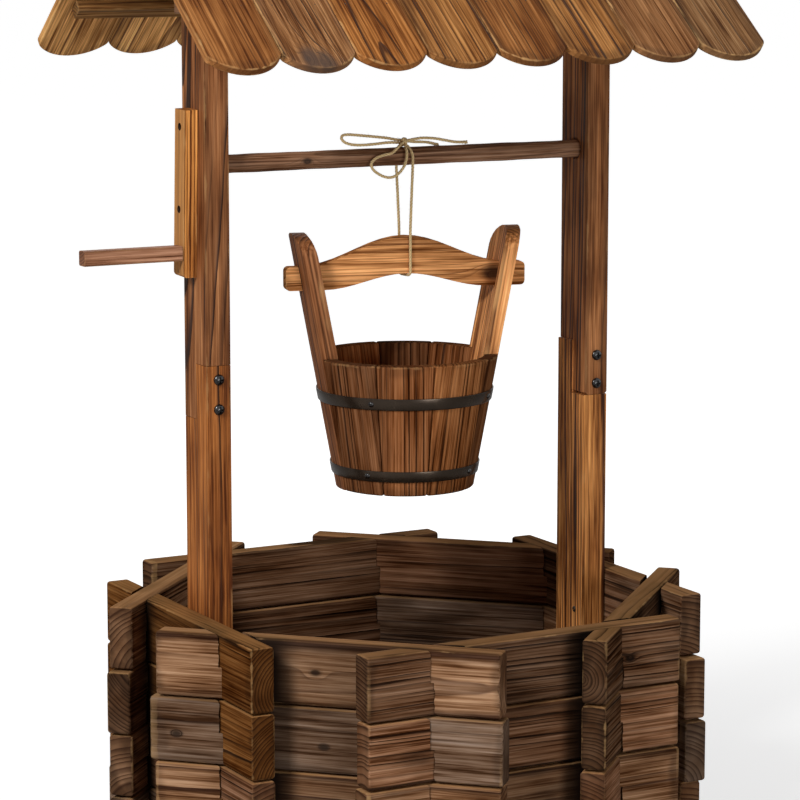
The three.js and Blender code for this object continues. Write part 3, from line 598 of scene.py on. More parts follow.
def merge_doubles(piece):
    """Makes points that lie in one place into one, and drops faces with no area."""
    shape = bmesh.new()
    shape.from_mesh(piece.data)
    bmesh.ops.remove_doubles(shape, verts=shape.verts, dist=1e-6)
    bmesh.ops.recalc_face_normals(shape, faces=shape.faces)
    shape.to_mesh(piece.data)
    shape.free()
    return piece


def screw_head(radius, dome, recess_half, recess_depth, turns=48, rings=13):
    """Head of a screw about Z, its seat at 0. Its height is a dome, the root of one less 0.96 of the
    squared share of the radius, less a cross-shaped recess: deep where either of the two distances across
    the head is under the recess's half width, out to 0.55 of the radius."""
    turn = full_turn(turns)[:, None]
    share = np.linspace(0, 1, rings)
    x, y = radius * share * np.cos(turn), radius * share * np.sin(turn)
    recess = (np.minimum(np.abs(x), np.abs(y)) < recess_half) & (np.hypot(x, y) < 0.55 * radius)
    height = dome * np.sqrt(1 - 0.96 * share ** 2) - recess_depth * recess
    top = np.stack([x, y, height], -1)
    foot = np.stack([x[:, -1:], y[:, -1:], 0 * x[:, -1:]], -1)
    return np.concatenate([top, foot], axis=1)


bolt_black = black_steel("bolt_black", paint(20, 17, 16), 0.2, 300,
                         {"Specular IOR Level": 0.3, "Coat Weight": 0.55})
bolt_turns = 72
for name, (x, z) in bolt_places.items():
    back = -post_depth - 0.0006  # own Z runs forwards out of the head's seat
    nut_top, tail = back - nut_height, back - nut_height - bolt_tail
    head = screw_head(bolt_head, bolt_head_height, 0.0007, 0.0016, bolt_turns, 19)
    shank = turned([(bolt_shank, 0), (bolt_shank, tail + bolt_bevel), (bolt_shank - bolt_bevel, tail),
                    (0, tail)], bolt_turns)
    body = np.concatenate([head, shank], axis=1)
    nut = turned([(bolt_shank, back), (nut_radius, back), (nut_radius, nut_top + 0.0005),
                  (nut_radius - 0.0007, nut_top), (bolt_shank, nut_top), (bolt_shank, back)], 6)
    own = np.vstack([body.reshape(-1, 3), nut.reshape(-1, 3)])
    points = np.column_stack([own[:, 0] + x, bolt_front - own[:, 2], own[:, 1] + z])
    faces = [*grid_faces(body), *grid_faces(nut, start=body.shape[0] * body.shape[1])]
    bolt = merge_doubles(make_piece(name + "_detail", points, faces, bolt_black, smooth=40))
    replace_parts(bolt, name)

# Rod
# A peeled stick of dark-stained wood, 20 mm thick, which lies loose in a bore in each post. It isn't quite
# true: it swells and thins a little along its length, and it has a rubbed sheen.
rod_radius, rod_z = 0.010, base_height + 0.480
rod_ends, rod_chamfer = (-0.24911, 0.23991), 0.001
rod_run = np.r_[rod_ends[0], rod_ends[0] + rod_chamfer, np.linspace(-0.245, 0.236, 150),
                rod_ends[1] - rod_chamfer, rod_ends[1]]
rod_turns = full_turn(48)[:, None]
rod_swell = (0.00012 * np.sin(rod_run * 61) + 0.00010 * np.sin(rod_run * 143 + 2)
             + 0.00012 * np.sin(rod_run * 47 + 2 * rod_turns) - 0.00014)
rod_swell *= np.clip((0.215 - np.abs(rod_run)) / 0.01, 0, 1)  # true where it lies in the bores
rod_size = rod_radius + rod_swell
rod_size[:, [0, -1]] -= rod_chamfer
rod_grid = np.stack([rod_run + 0 * rod_turns, rod_size * np.cos(rod_turns),
                     rod_size * np.sin(rod_turns) + rod_z], -1)
rod_finish = fir_finish(
    "rod_stick", (0, 0, rod_z), lay((1, 0, 0), (0, -1, 0)), no_edges,
    stain((141, 101, 73), (70, 46, 32), (40, 28, 22)), (0.004, 0.003), seed=3.3, ring=0.0024, wave=0.009,
    lean=(0.008, -0.006), knots=[(-0.12, 0.0, 0.010)], knot_size=0.005, charring=0.42, worn=0, coat=0.12)
rod_faces = grid_faces(rod_grid, ends=(True, True))
rod = make_piece("rod_stick", rod_grid.reshape(-1, 3), rod_faces, rod_finish, "rod", smooth=40)
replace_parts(rod, "rod")

# Crank
# A flat arm screwed on the outside of the left post, over the rod's bore, and a square handle let against
# it, both of golden brown fir. It doesn't turn. The screws lie deep in two round holes.
arm_lean = math.radians(2.6)
arm_centre, arm_half = (-0.2577, 0.0022, 0.7328), (0.0888, 0.01175, 0.008)
arm_along = (0, -math.sin(arm_lean), math.cos(arm_lean))
arm_shift, arm_hole = 0.0009, 0.0038
screw_rises = (0.0414, -0.046)
golden = stain((204, 132, 64), (92, 42, 12), (60, 38, 22))
rosy = stain((160, 110, 80), (100, 62, 42), (66, 44, 32))
handle_centre, handle_half = (-0.322, 0.0006, 0.670), (0.056, 0.008, 0.008)
arm_fir = fir_finish(
    "arm_fir", arm_centre, lay(arm_along, (-1, 0, 0)), arm_half, golden, (0.0, 0.0575), seed=2.2,
    ring=0.0041, lean=(0.004, 0.002), wave=0.002, line=4.2, charring=0.03, worn=0.9)


def darken_bores(material, rises, radius):
    """Two bores along the board's own Z, painted near black inside as shade, with a thin charred rim just
    past their radius: where the distance from the nearer bore's axis is under its radius. The bores lie on
    the board's middle line, so the distance along is folded about their middle. The face they open in was
    planed, and is plainer and lighter than the rest."""
    tree = material.node_tree
    shader = tree.nodes["Principled BSDF"]
    grain = shader.inputs["Base Color"].links[0].from_socket
    x, y, z = parts_of(grain.node.inputs["place"].links[0].from_socket)
    middle, reach = sum(rises) / 2, abs(rises[0] - rises[1]) / 2
    off = ((abs(x - middle) - reach) ** 2 + y * y).root()
    planed = blend_paint(tree, z.rise(0.0066, 0.0076) * 0.6, grain, paint(190, 138, 84))
    # Painted shade: the inside of each bore is painted near black, and its rim a little charred.
    bore_shade = blend_paint(tree, off.fall(radius * 1.02, radius * 1.12) * 0.94, planed, paint(30, 20, 14))
    feed(shader, {"Base Color": bore_shade})


arm_drop = (arm_centre[2] - rod_z) / math.cos(arm_lean)
darken_bores(arm_fir, [rise - arm_drop for rise in screw_rises], arm_hole)
dress_node("crank_arm", arm_fir, 0.0012)
dress_node("crank_handle", fir_finish(
    "handle_fir", handle_centre, lay((1, 0, 0), (0, -1, 0)), handle_half, rosy, (0.03, -0.012), seed=7.7,
    ring=0.0036, wave=0.003, line=0.7, charring=0.1), 0.0008)

# Wood screws
# Steel screws with flat heads and a cross recess: two deep in the crank arm, and four on the inner face of
# each post that hold it to the wall behind.
screw_radius, screw_dome = 0.0028, 0.0009
screw_heights, screw_stagger = (0.060, 0.110, 0.180, 0.235), 0.012
right_extra = 0.003  # how much wider the right post's lower piece is on its inner side
arm_face, hole_depth = -0.26571, 0.009  # the arm's outer face, and how deep the screws lie under it


def place_along(points, place, outwards):
    """Points with their own Z turned to a direction and their X anywhere across it, moved to a place."""
    turn = np.array(lay(np.cross(outwards, (0.3, 0.4, 0.87)), outwards).to_matrix())
    return points.reshape(-1, 3) @ turn.T + np.array(place)


screw_steel = black_steel("screw_steel", paint(60, 55, 49), 0.4, 900, {"Metallic": 0.8})
screw_shape = screw_head(screw_radius, screw_dome, 0.00045, 0.0011)
inner_faces = {"left": (-post_x + post_width / 2, 1), "right": (post_x - post_width / 2 - right_extra, -1)}
screw_spots = [(f"post_screw_{i + 1}_{side}", (face, screw_stagger * (-1) ** i, z), (way, 0, 0), 1.25)
               for side, (face, way) in inner_faces.items() for i, z in enumerate(screw_heights)]
for i, rise in enumerate(screw_rises):
    spot = (arm_face + hole_depth, arm_shift - rise * math.sin(arm_lean), rod_z + rise * math.cos(arm_lean))
    screw_spots.append((f"arm_screw_{i + 1}", spot, (-1, 0, 0), 1.0))
for name, place, outwards, scale in screw_spots:
    points = place_along(screw_shape * scale, place, outwards)
    faces = grid_faces(screw_shape, ends=(False, True))
    merge_doubles(make_piece(name, points, faces, screw_steel, smooth=35))

# Roof planks
# Sixteen planks of brushed, carbonised fir, eight on each slope. The lower ends are sawn to a wide scallop,
# with the corners rounded over and lighter, partly rubbed and partly a painted highlight. They meet at the
# ridge in a mitre, with no ridge piece.
planks = 8
slope = math.radians(38.63)
roof_x, ridge_z = -0.0054, rod_z + 0.3015
roof_length = (post_x + post_width / 2 + 0.0802) * 2
plank_gap = 0.0007
plank_pitch = (roof_length + plank_gap) / planks
plank_width, plank_length, plank_thick = plank_pitch - plank_gap, 0.3017, 0.009
scallop_depth, scallop_fillet = 0.0215, 0.010
scallop_radius = ((plank_width / 2) ** 2 + scallop_depth ** 2) / (2 * scallop_depth)
plank_rounding = 0.0016


def slope_axes(side):
    """Directions down a slope and out of its upper face. side is -1 in front and 1 behind."""
    return (np.array([0, side * math.cos(slope), -math.sin(slope)]),
            np.array([0, side * math.sin(slope), math.cos(slope)]))


def ridge_over(i):
    """Place on the ridge over the middle of plank i, counted from 0 at the left."""
    return np.array([roof_x + (i - (planks - 1) / 2) * plank_pitch, 0, ridge_z])


def plank_outline(length, start):
    """Corners of a plank: across, and down the slope from the ridge. A wide arc through the tip ends it,
    and a fillet joins the arc to each side."""
    half, radius = plank_width / 2, scallop_radius
    side = half - scallop_fillet
    run = math.sqrt((radius - scallop_fillet) ** 2 - side ** 2)
    turn = math.atan2(run, side)
    small, wide = np.linspace(0, turn, 7), np.linspace(turn, math.pi - turn, 19)[1:-1]
    corner = np.column_stack([side + scallop_fillet * np.cos(small), run + scallop_fillet * np.sin(small)])
    arc = np.column_stack([radius * np.cos(wide), radius * np.sin(wide)])
    end = np.vstack([corner, arc, corner[::-1] * [-1, 1]]) + [0, length - radius]
    return np.vstack([[-half, start], [half, start], end])


straw = stain((172, 113, 60), (82, 46, 22), (52, 37, 27))
bronze = stain((160, 101, 53), (82, 46, 22), (46, 32, 24))
tobacco = stain((160, 108, 66), (60, 37, 22), (46, 34, 28))
ashen = stain((164, 112, 69), (58, 36, 21), (92, 74, 64))
amber = stain((178, 112, 56), (84, 48, 24), (46, 32, 24))
hazel = stain((156, 112, 72), (74, 50, 32), (44, 36, 30))
# The next stain is a much lighter copy of the planks' stains: painted light for the three back planks whose
# undersides show under the left eave, standing in for light from below.
lit_olive = stain((222, 162, 96), (128, 84, 46), (66, 48, 34))
# The front planks from the left: colours, heart across and outwards, ring, lean, line, charring and knots.
front_looks = [
    (bronze, (0.060, -0.040), 0.0046, (0.02, 0.02), 0.45, 0.25, ()),
    (ashen, (0.095, -0.030), 0.0037, (0.01, 0.00), 1.5, 0.30,
     ((0.143, 0.002, 0.0045), (0.137, -0.012, 0.0045))),
    (amber, (-0.012, -0.020), 0.0080, (0.03, 0.06), 1.1, 0.35, ()),
    (straw, (0.090, -0.028), 0.0046, (0.01, 0.00), 1.5, 0.42, ()),
    (bronze, (-0.080, -0.025), 0.0046, (0.00, 0.01), 1.3, 0.38, ()),
    (straw, (0.110, -0.030), 0.0056, (0.01, 0.00), 1.4, 0.40, ()),
    (tobacco, (0.002, -0.016), 0.0066, (0.00, 0.07), 1.0, 0.35, ()),
    (hazel, (0.050, -0.040), 0.0052, (0.02, 0.00), 1.1, 0.30, ()),
]
plank_draw = np.random.default_rng(5)
for row, side in (("front", -1), ("back", 1)):
    down, upwards = slope_axes(side)
    across = np.cross(down, -upwards)
    for i in range(planks):
        length = plank_length + plank_draw.uniform(-0.0015, 0.0003) + 0.0012 * (side > 0)
        ridge = ridge_over(i) + upwards * plank_draw.uniform(-0.0004, 0)
        outlines = []
        for depth in (0, plank_thick):
            flat = plank_outline(length, depth * math.tan(slope) + 0.00015)
            outlines.append(ridge - upwards * depth + flat[:, :1] * across + flat[:, 1:] * down)
        # Painted light: the three leftmost back planks take the much lighter stain.
        drawn = (lit_olive if i < 3 else [straw, bronze, tobacco, hazel][plank_draw.integers(4)],
                 (plank_draw.uniform(-0.09, 0.09), plank_draw.uniform(-0.06, -0.02)),
                 plank_draw.uniform(0.004, 0.007), plank_draw.uniform(-0.03, 0.03, 2),
                 plank_draw.uniform(0.6, 1.2), plank_draw.uniform(0.1, 0.35), ())
        tones, heart, ring, lean, line, charring, knots = front_looks[i] if side < 0 else drawn
        name = f"{row}_plank_{i + 1}"
        half = (length / 2, plank_width / 2, plank_thick / 2)
        # A painted highlight lightens each plank's narrow face on its own -Y; its arrises are lightened
        # partly as wear and partly as a painted highlight.
        finish = fir_finish(
            name + "_fir", ridge + down * length / 2 - upwards * plank_thick / 2, lay(down, upwards), half,
            tones, heart, seed=i * 2.3 + side * 4.1 + 11, ring=ring, lean=lean, line=line, end_line=0.3,
            knots=knots, knot_size=0.015, charring=charring, worn=0.9, crown=0.5, curve=scallop_radius,
            gloss=0.08)
        faces = slab_faces(len(flat))
        plank = make_piece(name + "_detail", np.vstack(outlines), faces, finish, smooth=25)
        round_edges(plank, plank_rounding, 4)
        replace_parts(plank, name)

# Roof frame
# Four battens run under the planks, and a gable plate on the inner face of each post carries them.
# All are plain brown fir.
umber = stain((154, 109, 62), (66, 44, 26), (40, 28, 20))
batten_half, batten_drop = (0.3126, 0.008, 0.007), 0.0073  # half its size, and how far under the planks
batten_runs = {"upper": 0.100, "lower": 0.207}  # down the slope from the ridge
gable_x, gable_z = 0.2121, 0.975
for row, side in (("front", -1), ("back", 1)):
    down, upwards = slope_axes(side)
    for level, run in batten_runs.items():
        name = f"{row}_{level}_batten"
        centre = np.array([roof_x, 0, ridge_z]) + down * run - upwards * (plank_thick + batten_drop)
        dress_node(name, fir_finish(
            name + "_fir", centre, lay((1, 0, 0), upwards), batten_half, umber, (0.03, -0.02),
            seed=run * 40 + side, ring=0.0042, charring=0.25, worn=0.4), 0.0008)
for name, side in (("gable_plate_left", -1), ("gable_plate_right", 1)):
    dress_node(name, fir_finish(
        name + "_fir", (side * gable_x, 0, gable_z), lay((0, 1, 0), (-side, 0, 0)), no_edges, dusk,
        (0.09, -0.03), seed=side * 2 + 6, ring=0.0060, charring=0.3, worn=0), 0.001)

# Roof brads
# Two thin brads through each plank into each batten, driven flush and gone dark.
brad_radius, brad_dome, brad_spread, brad_sink = 0.0009, 0.0002, 0.024, 0.0002
brad_shape = turned([(0, brad_dome), (brad_radius * 0.6, brad_dome * 0.8), (brad_radius, 0),
                     (brad_radius * 0.8, -0.0004)], 12)
brad_points, brad_faces = [], []
for side in (-1, 1):
    down, upwards = slope_axes(side)
    for i in range(planks):
        for run in batten_runs.values():
            for shift in (-brad_spread, brad_spread):
                place = ridge_over(i) + [shift, 0, 0] + down * run - upwards * brad_sink
                start = len(brad_points) * brad_shape.shape[0] * brad_shape.shape[1]
                brad_points.append(place_along(brad_shape, place, upwards))
                brad_faces.extend(grid_faces(brad_shape, start, ends=(False, True)))
merge_doubles(make_piece("roof_brads", np.vstack(brad_points), brad_faces, screw_steel))

# Bucket staves
# Eight staves of carbonised fir stand in a cone between the two ears. Their joints are tight, and each is
# flamed and stained a little differently. The grain runs up them.
bucket_x, bucket_turn = 0.0037, math.radians(-15)
rim_z, foot_z = rod_z - 0.2176, rod_z - 0.2176 - 0.1465
rim_radius, foot_radius = 0.1032, 0.0763
stave_thick, stave_gap = 0.016, 0.0008
ear_turn = math.radians(33.8)
stave_shares = (0.285, 0.251, 0.292, 0.172)
stave_rounding = 0.0022
usual_radius = 0.09  # about halfway up, for the width of a stave's wear and painted arris highlight
slant = math.atan2(rim_radius - foot_radius, rim_z - foot_z)


def stave_radius(z):
    """Radius of the staves' outer faces at a height."""
    return foot_radius + (z - foot_z) * (rim_radius - foot_radius) / (rim_z - foot_z)


def on_bucket(points):
    """Points given about the bucket's own axis, turned and moved to where the bucket hangs."""
    points = np.asarray(points, float)
    c, s = math.cos(bucket_turn), math.sin(bucket_turn)
    x, y = points[..., 0], points[..., 1]
    return np.stack([x * c - y * s + bucket_x, x * s + y * c, points[..., 2]], -1)


def bucket_spot(radius, turn, z):
    """Place in the frame of a point given by its radius, turn and height about the bucket's own axis."""
    return on_bucket([radius * math.cos(turn), radius * math.sin(turn), z])


def stave_place(turn, low, high):
    """For a stave or ear at a turn: the middle of its thickness, its own axes, and half of its length."""
    outwards = np.array([math.cos(turn + bucket_turn), math.sin(turn + bucket_turn), 0])
    along = outwards * math.sin(slant) + np.array([0, 0, math.cos(slant)])
    middle = (low + high) / 2
    centre = bucket_spot(stave_radius(middle) - stave_thick / 2, turn, middle)
    return centre, lay(along, outwards), (high - low) / 2 / math.cos(slant)


def stave_outline(start, stop, z):
    """Section of a stave at a height: an arc outside, one inside, and straight joints half a gap in."""
    arcs = []
    for r, way in ((stave_radius(z), 1), (stave_radius(z) - stave_thick, -1)):
        angle = np.linspace(start + stave_gap / 2 / r, stop - stave_gap / 2 / r, 9)[::way]
        arcs.append(np.column_stack([r * np.cos(angle), r * np.sin(angle), z + 0 * angle]))
    return np.vstack(arcs)


flamed = stain((140, 86, 50), (62, 36, 22), (40, 27, 20))
toasted = stain((122, 77, 47), (56, 34, 22), (36, 25, 20))
copper = stain((156, 98, 56), (72, 42, 24), (42, 28, 20))
burnished = stain((238, 162, 98), (104, 62, 34), (46, 32, 24))
stave_looks = [  # colours, and the heart across and outwards
    (flamed, (0.05, -0.03)), (toasted, (0.04, -0.04)), (copper, (-0.05, -0.03)), (toasted, (0.05, -0.02)),
    (toasted, (0.045, -0.030)), (flamed, (-0.060, -0.022)), (copper, (0.055, -0.025)),
    (toasted, (0.05, -0.03)),
]
number = 0
for ear in (0, math.pi):
    start = ear + ear_turn / 2
    for share in stave_shares:
        stop = start + share * (math.pi - ear_turn)
        outlines = [on_bucket(stave_outline(start, stop, z)) for z in (foot_z, rim_z)]
        centre, turn, half_length = stave_place((start + stop) / 2, foot_z, rim_z)
        half_width = usual_radius * (stop - start) / 2
        number += 1
        tones, heart = stave_looks[number - 1]
        finish = fir_finish(
            f"stave_{number}_fir", centre, turn, (half_length, half_width, stave_thick / 2), tones, heart,
            seed=number * 1.9, ring=0.0044, lean=(0.01, 0.01), wave=0.006, line=1.1, charring=0.3, worn=0.3,
            gloss=0.0)
        name, faces = f"bucket_stave_{number}", slab_faces(len(outlines[0]))
        stave = make_piece(name + "_detail", np.vstack(outlines), faces, finish, "bucket",
                           smooth=25)
        round_edges(stave, stave_rounding, 3)
        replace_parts(stave, name)
        start = stop

# Bucket ears, bottom and yoke
# Two staves rise above the rim as ears, arched on top and slotted for the yoke: a bar with a high crown
# that the twine goes round. The bottom is a disc let in between the staves.
ear_rise, left_ear_drop, ear_half_width = 0.1396, 0.003, 0.031
bottom_z, yoke_z = foot_z + 0.018, rod_z - 0.125
yoke_half = (0.1345, 0.0445, 0.008)
ears = [
    ("bucket_ear_right", 0, ear_rise, burnished, (0.045, -0.02)),
    ("bucket_ear_left", math.pi, ear_rise - left_ear_drop, flamed, (-0.05, -0.03)),
]
for name, ear, rise, tones, heart in ears:
    centre, turn, half_length = stave_place(ear, foot_z, rim_z + rise)
    dress_node(name, fir_finish(
        name + "_fir", centre, turn, (half_length, ear_half_width, stave_thick / 2), tones, heart,
        seed=ear + 1.3, ring=0.0048, lean=(0.01, 0.0), wave=0.005, line=1.1, charring=0.15, worn=0.6),
        0.0016, 32)
yoke_along = (math.cos(bucket_turn), math.sin(bucket_turn), 0)
yoke_front = (math.sin(bucket_turn), -math.cos(bucket_turn), 0)
dress_node("bucket_bottom", fir_finish(
    "bottom_fir", (bucket_x, 0, bottom_z), lay(yoke_along, (0, 0, 1)), no_edges, toasted, (0.02, -0.05),
    seed=4.4, ring=0.006, charring=0.3, worn=0), 0.0008)
dress_node("yoke", fir_finish(
    "yoke_fir", (bucket_x, 0, yoke_z), lay(yoke_along, yoke_front), yoke_half,
    stain((214, 147, 90), (122, 74, 42), (46, 32, 26)), (0.09, -0.02), seed=9.1, ring=0.0075,
    lean=(0.01, 0.01), wave=0.012, line=0.7, knots=[(0.098, -0.004, 0.007)], knot_size=0.012, charring=0.12,
    worn=0.6, gloss=0.0), 0.0018)

# Hoops and rivets
# Two bands of blackened iron are driven down over the staves. The ends of each lap and are held by rivets.
hoop_thick, hoop_clear = 0.0015, 0.0003
hoops = {"hoop_upper": (rim_z - 0.036, 0.0131), "hoop_lower": (foot_z + 0.0285, 0.0123)}
rivet_turns = {"hoop_upper": (-140.4, -48.2), "hoop_lower": (-148.0, -59.2)}  # degrees from +X
rivet_radius, rivet_height = 0.0032, 0.0021
iron = black_steel("hoop_iron", paint(61, 50, 40), 0.26, 60, {"Metallic": 0.7})
hoop_steps = 160
edge_run = np.linspace(-math.pi / 2, math.pi / 2, 5)
rivet_arc = np.linspace(0, math.pi / 2, 7)
rivet_profile = np.column_stack([rivet_radius * np.sin(rivet_arc), rivet_height * np.cos(rivet_arc)])
rivet_shape = turned(rivet_profile, 24)
for name, (high, width) in hoops.items():
    bulge = hoop_thick / 2
    top = [(bulge * math.sin(a), high - bulge + bulge * math.cos(a)) for a in edge_run]
    low = [(bulge * math.sin(a), high - width + bulge - bulge * math.cos(a)) for a in edge_run[::-1]]
    section = [(stave_radius(z) + hoop_clear + bulge + r, z) for r, z in [*top, *low]]
    ring = turned([*section, section[0]], hoop_steps)
    ring[..., :2] *= 1 + 0.0006 * np.sin(5 * full_turn(hoop_steps) + high * 90)[:, None, None]
    points = on_bucket(ring.reshape(-1, 3))
    hoop = make_piece(name + "_detail", points, grid_faces(ring), iron, "bucket", smooth=50)
    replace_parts(merge_doubles(hoop), name)
    for i, degrees in enumerate(rivet_turns[name]):
        turn, z = math.radians(degrees), high - width / 2
        place = bucket_spot(stave_radius(z) + hoop_clear + hoop_thick * 0.8, turn - bucket_turn, z)
        points = place_along(rivet_shape, place, (math.cos(turn), math.sin(turn), -math.tan(slant)))
        faces = grid_faces(rivet_shape, ends=(False, True))
        rivet_name = f"{name}_rivet_{i + 1}"
        merge_doubles(make_piece(rivet_name, points, faces, bolt_black, "bucket", smooth=50))

# Twine
# One length of jute twine, three plies laid together: round the yoke, up in two strands, over the rod, and
# tied on top in a bow with two loops and two tails.
twine_radius, twine_plies, twine_lay = 0.00165, 3, 0.011
knot_radius, knot_place = 0.0046, (-0.0026, -0.003, 0.0164)
hang_point = np.array([bucket_x, 0, rod_z])
left_loop_route = [
    (-2, -1.4, 17.6), (-9.1, 1, 18), (-19.9, 3, 20), (-36.5, 5, 22.1), (-53.6, 6, 24), (-68.2, 5, 25.3),
    (-75.1, 3, 24.4), (-77, 1, 21.5), (-74.7, -1, 18), (-68.3, -2, 15.4), (-57.8, -2, 14.1),
    (-46.1, -2, 14.1), (-34.4, -2, 14.7), (-22.6, -2, 15.5), (-10.8, -2.4, 15.2), (-3, -3.4, 14.4),
]
lower_loop_route = [
    (-3, -4, 16.6), (-9, -8.5, 14.2), (-16.9, -12.4, 9.2), (-23.6, -14, 5), (-32.9, -14, 3.3),
    (-41.2, -14, 1), (-47, -14, -2.9), (-48.8, -14, -7), (-46.1, -14, -12.3), (-40.3, -14, -16.7),
    (-33.2, -14, -20.1), (-26.2, -14.4, -21.4), (-19.1, -15, -19.6), (-13.4, -15.4, -15.1),
    (-8.6, -15.6, -8.6), (-6.2, -15.4, -1.4), (-5, -14, 5.7), (-4, -9.6, 11.6), (-1.4, -5.4, 14.4),
]
long_tail_route = [
    (-3, -3, 16.4), (6, -2.4, 17.6), (13, -2, 18.4), (20.2, -2, 19), (30.9, -2, 18.5), (36.9, -2, 17.8),
    (48.9, -2, 15.6), (61, -2, 13.3), (73.1, -2, 12.5), (77, -2, 12.3),
]
short_tail_route = [
    (-3, -2, 16), (5.7, 2, 15.7), (13.3, 3, 14.7), (21.1, 4, 14.3), (28.8, 5, 13.7), (35.4, 6, 12.6),
    (40.7, 7, 11.2), (46, 8.2, 9.8),
]


def smooth_route(points, step=0.0009):
    """Centripetal Catmull-Rom curve through the points, given in millimetres, resampled to even steps."""
    points = np.array(points, float) / 1000
    p = np.array([2 * points[0] - points[1], *points, 2 * points[-1] - points[-2]])
    knots = np.r_[0, np.cumsum(np.linalg.norm(np.diff(p, axis=0), axis=1) ** 0.5)]
    t = np.linspace(knots[1], knots[-2], 1200)
    i = np.clip(np.searchsorted(knots, t, side="right") - 1, 1, len(p) - 3)
    t0, t1, t2, t3 = (knots[i + k] for k in (-1, 0, 1, 2))
    p0, p1, p2, p3 = (p[i + k] for k in (-1, 0, 1, 2))

    def between(a, b, ta, tb):
        share = ((t - ta) / (tb - ta))[:, None]
        return a + (b - a) * share

    a1, a2, a3 = between(p0, p1, t0, t1), between(p1, p2, t1, t2), between(p2, p3, t2, t3)
    curve = between(between(a1, a2, t0, t2), between(a2, a3, t1, t3), t1, t2)
    run = np.r_[0, np.cumsum(np.linalg.norm(np.diff(curve, axis=0), axis=1))]
    even = np.linspace(0, run[-1], max(8, int(run[-1] / step)))
    return np.column_stack([np.interp(even, run, curve[:, k]) for k in range(3)])


def laid_twine(path, level, frayed=False):
    """Twine along a path. Its section is a circle with a lobe for each ply, and it turns once in each
    lay. The section's first axis is a fixed level direction less its part along the path, and its second
    is across both. Over the last few millimetres of a frayed end the lobes grow deeper and wider."""
    ahead = np.gradient(path, axis=0)
    ahead /= np.linalg.norm(ahead, axis=1)[:, None]
    firsts = np.array(level, float) - (ahead @ np.array(level, float))[:, None] * ahead
    firsts /= np.linalg.norm(firsts, axis=1)[:, None]
    seconds = np.cross(ahead, firsts)
    run = np.r_[0, np.cumsum(np.linalg.norm(np.diff(path, axis=0), axis=1))]
    turns = full_turn(18)
    loose = np.exp((run - run[-1]) / 0.004)[:, None] * frayed
    wave = np.cos(twine_plies * (turns - 2 * math.pi * run[:, None] / twine_lay))
    lobes = twine_radius * (0.9 + 0.1 * wave + loose * (0.12 + 0.34 * wave))
    c, s = np.cos(turns)[:, None], np.sin(turns)[:, None]
    grid = path[:, None] + lobes[..., None] * (c * firsts[:, None] + s * seconds[:, None])
    return grid.transpose(1, 0, 2), run, turns


def jute():
    """Jute: pale tan fibres that follow the plies. The UV map gives the turn round the twine and the run
    along it. Their difference stays the same along a ply, and where it marks the grooves between plies the
    colour is darkened as painted shade."""
    given = {"Roughness": 0.9, "Specular IOR Level": 0.15, "Sheen Weight": 0.25}
    material, shader = new_finish("jute", given)
    tree = material.node_tree
    around, run, _ = parts_of(new_node(tree, "UVMap", uv_map="lay").outputs["UV"])
    lay_phase = around - run
    groove_shade = ((lay_phase * twine_plies * 2 * math.pi).math("COSINE") * 0.5 + 0.5).fall(0.0, 0.45)
    x, y, z = own_place(tree)
    fibre = cloud(lay_phase * 46, run * 2.2, around * 0, 2)
    fleck = cloud(x * 420, y * 420, z * 420, 3)
    colour = blend_paint(tree, fibre.rise(0.25, 0.8), paint(230, 192, 132), paint(254, 230, 176))
    colour = blend_paint(tree, fleck.rise(0.5, 0.85) * 0.25, colour, paint(170, 134, 88))
    # Painted shade: the grooves between plies are darkened.
    colour = blend_paint(tree, groove_shade * 0.38, colour, paint(132, 100, 62))
    feed(shader, {"Base Color": colour})
    emboss(shader, fibre * 0.00025 + fleck * 0.0002)
    return material


jute_twine = jute()


def lay_map(mesh, columns, run, turns):
    """UV map of a twine: U the share of the turn round it, and V the run along it in lays. A corner on
    the last stretch of the turn counts on to a whole turn, so the map has no jump there."""
    u = np.repeat(np.asarray(turns) / (2 * math.pi), columns)
    v = np.tile(run / twine_lay, len(turns))
    loops = np.zeros(len(mesh.loops), int)
    mesh.loops.foreach_get("vertex_index", loops)
    starts = np.zeros(len(mesh.polygons), int)
    mesh.polygons.foreach_get("loop_start", starts)
    face_of = np.searchsorted(starts, np.arange(len(loops)), side="right") - 1
    lu, lv = u[loops], v[loops]
    high = np.maximum.reduceat(lu, starts)[face_of]
    sizes = np.diff(np.r_[starts, len(loops)])[face_of]
    lu = np.where((high - lu > 0.5) & (sizes == 4), lu + 1, lu)
    layer = mesh.uv_layers.new(name="lay")
    layer.data.foreach_set("uv", np.column_stack([lu, lv]).astype(np.float32).ravel())


def add_twine(name, path, body, level, frayed=False):
    """A stretch of twine along a path in the frame, closed at both ends."""
    grid, run, turns = laid_twine(path, level, frayed)
    faces = grid_faces(grid, ends=(True, True))
    piece = make_piece(name, grid.reshape(-1, 3), faces, jute_twine, body, smooth=60)
    lay_map(piece.data, grid.shape[1], run, turns)
    return piece


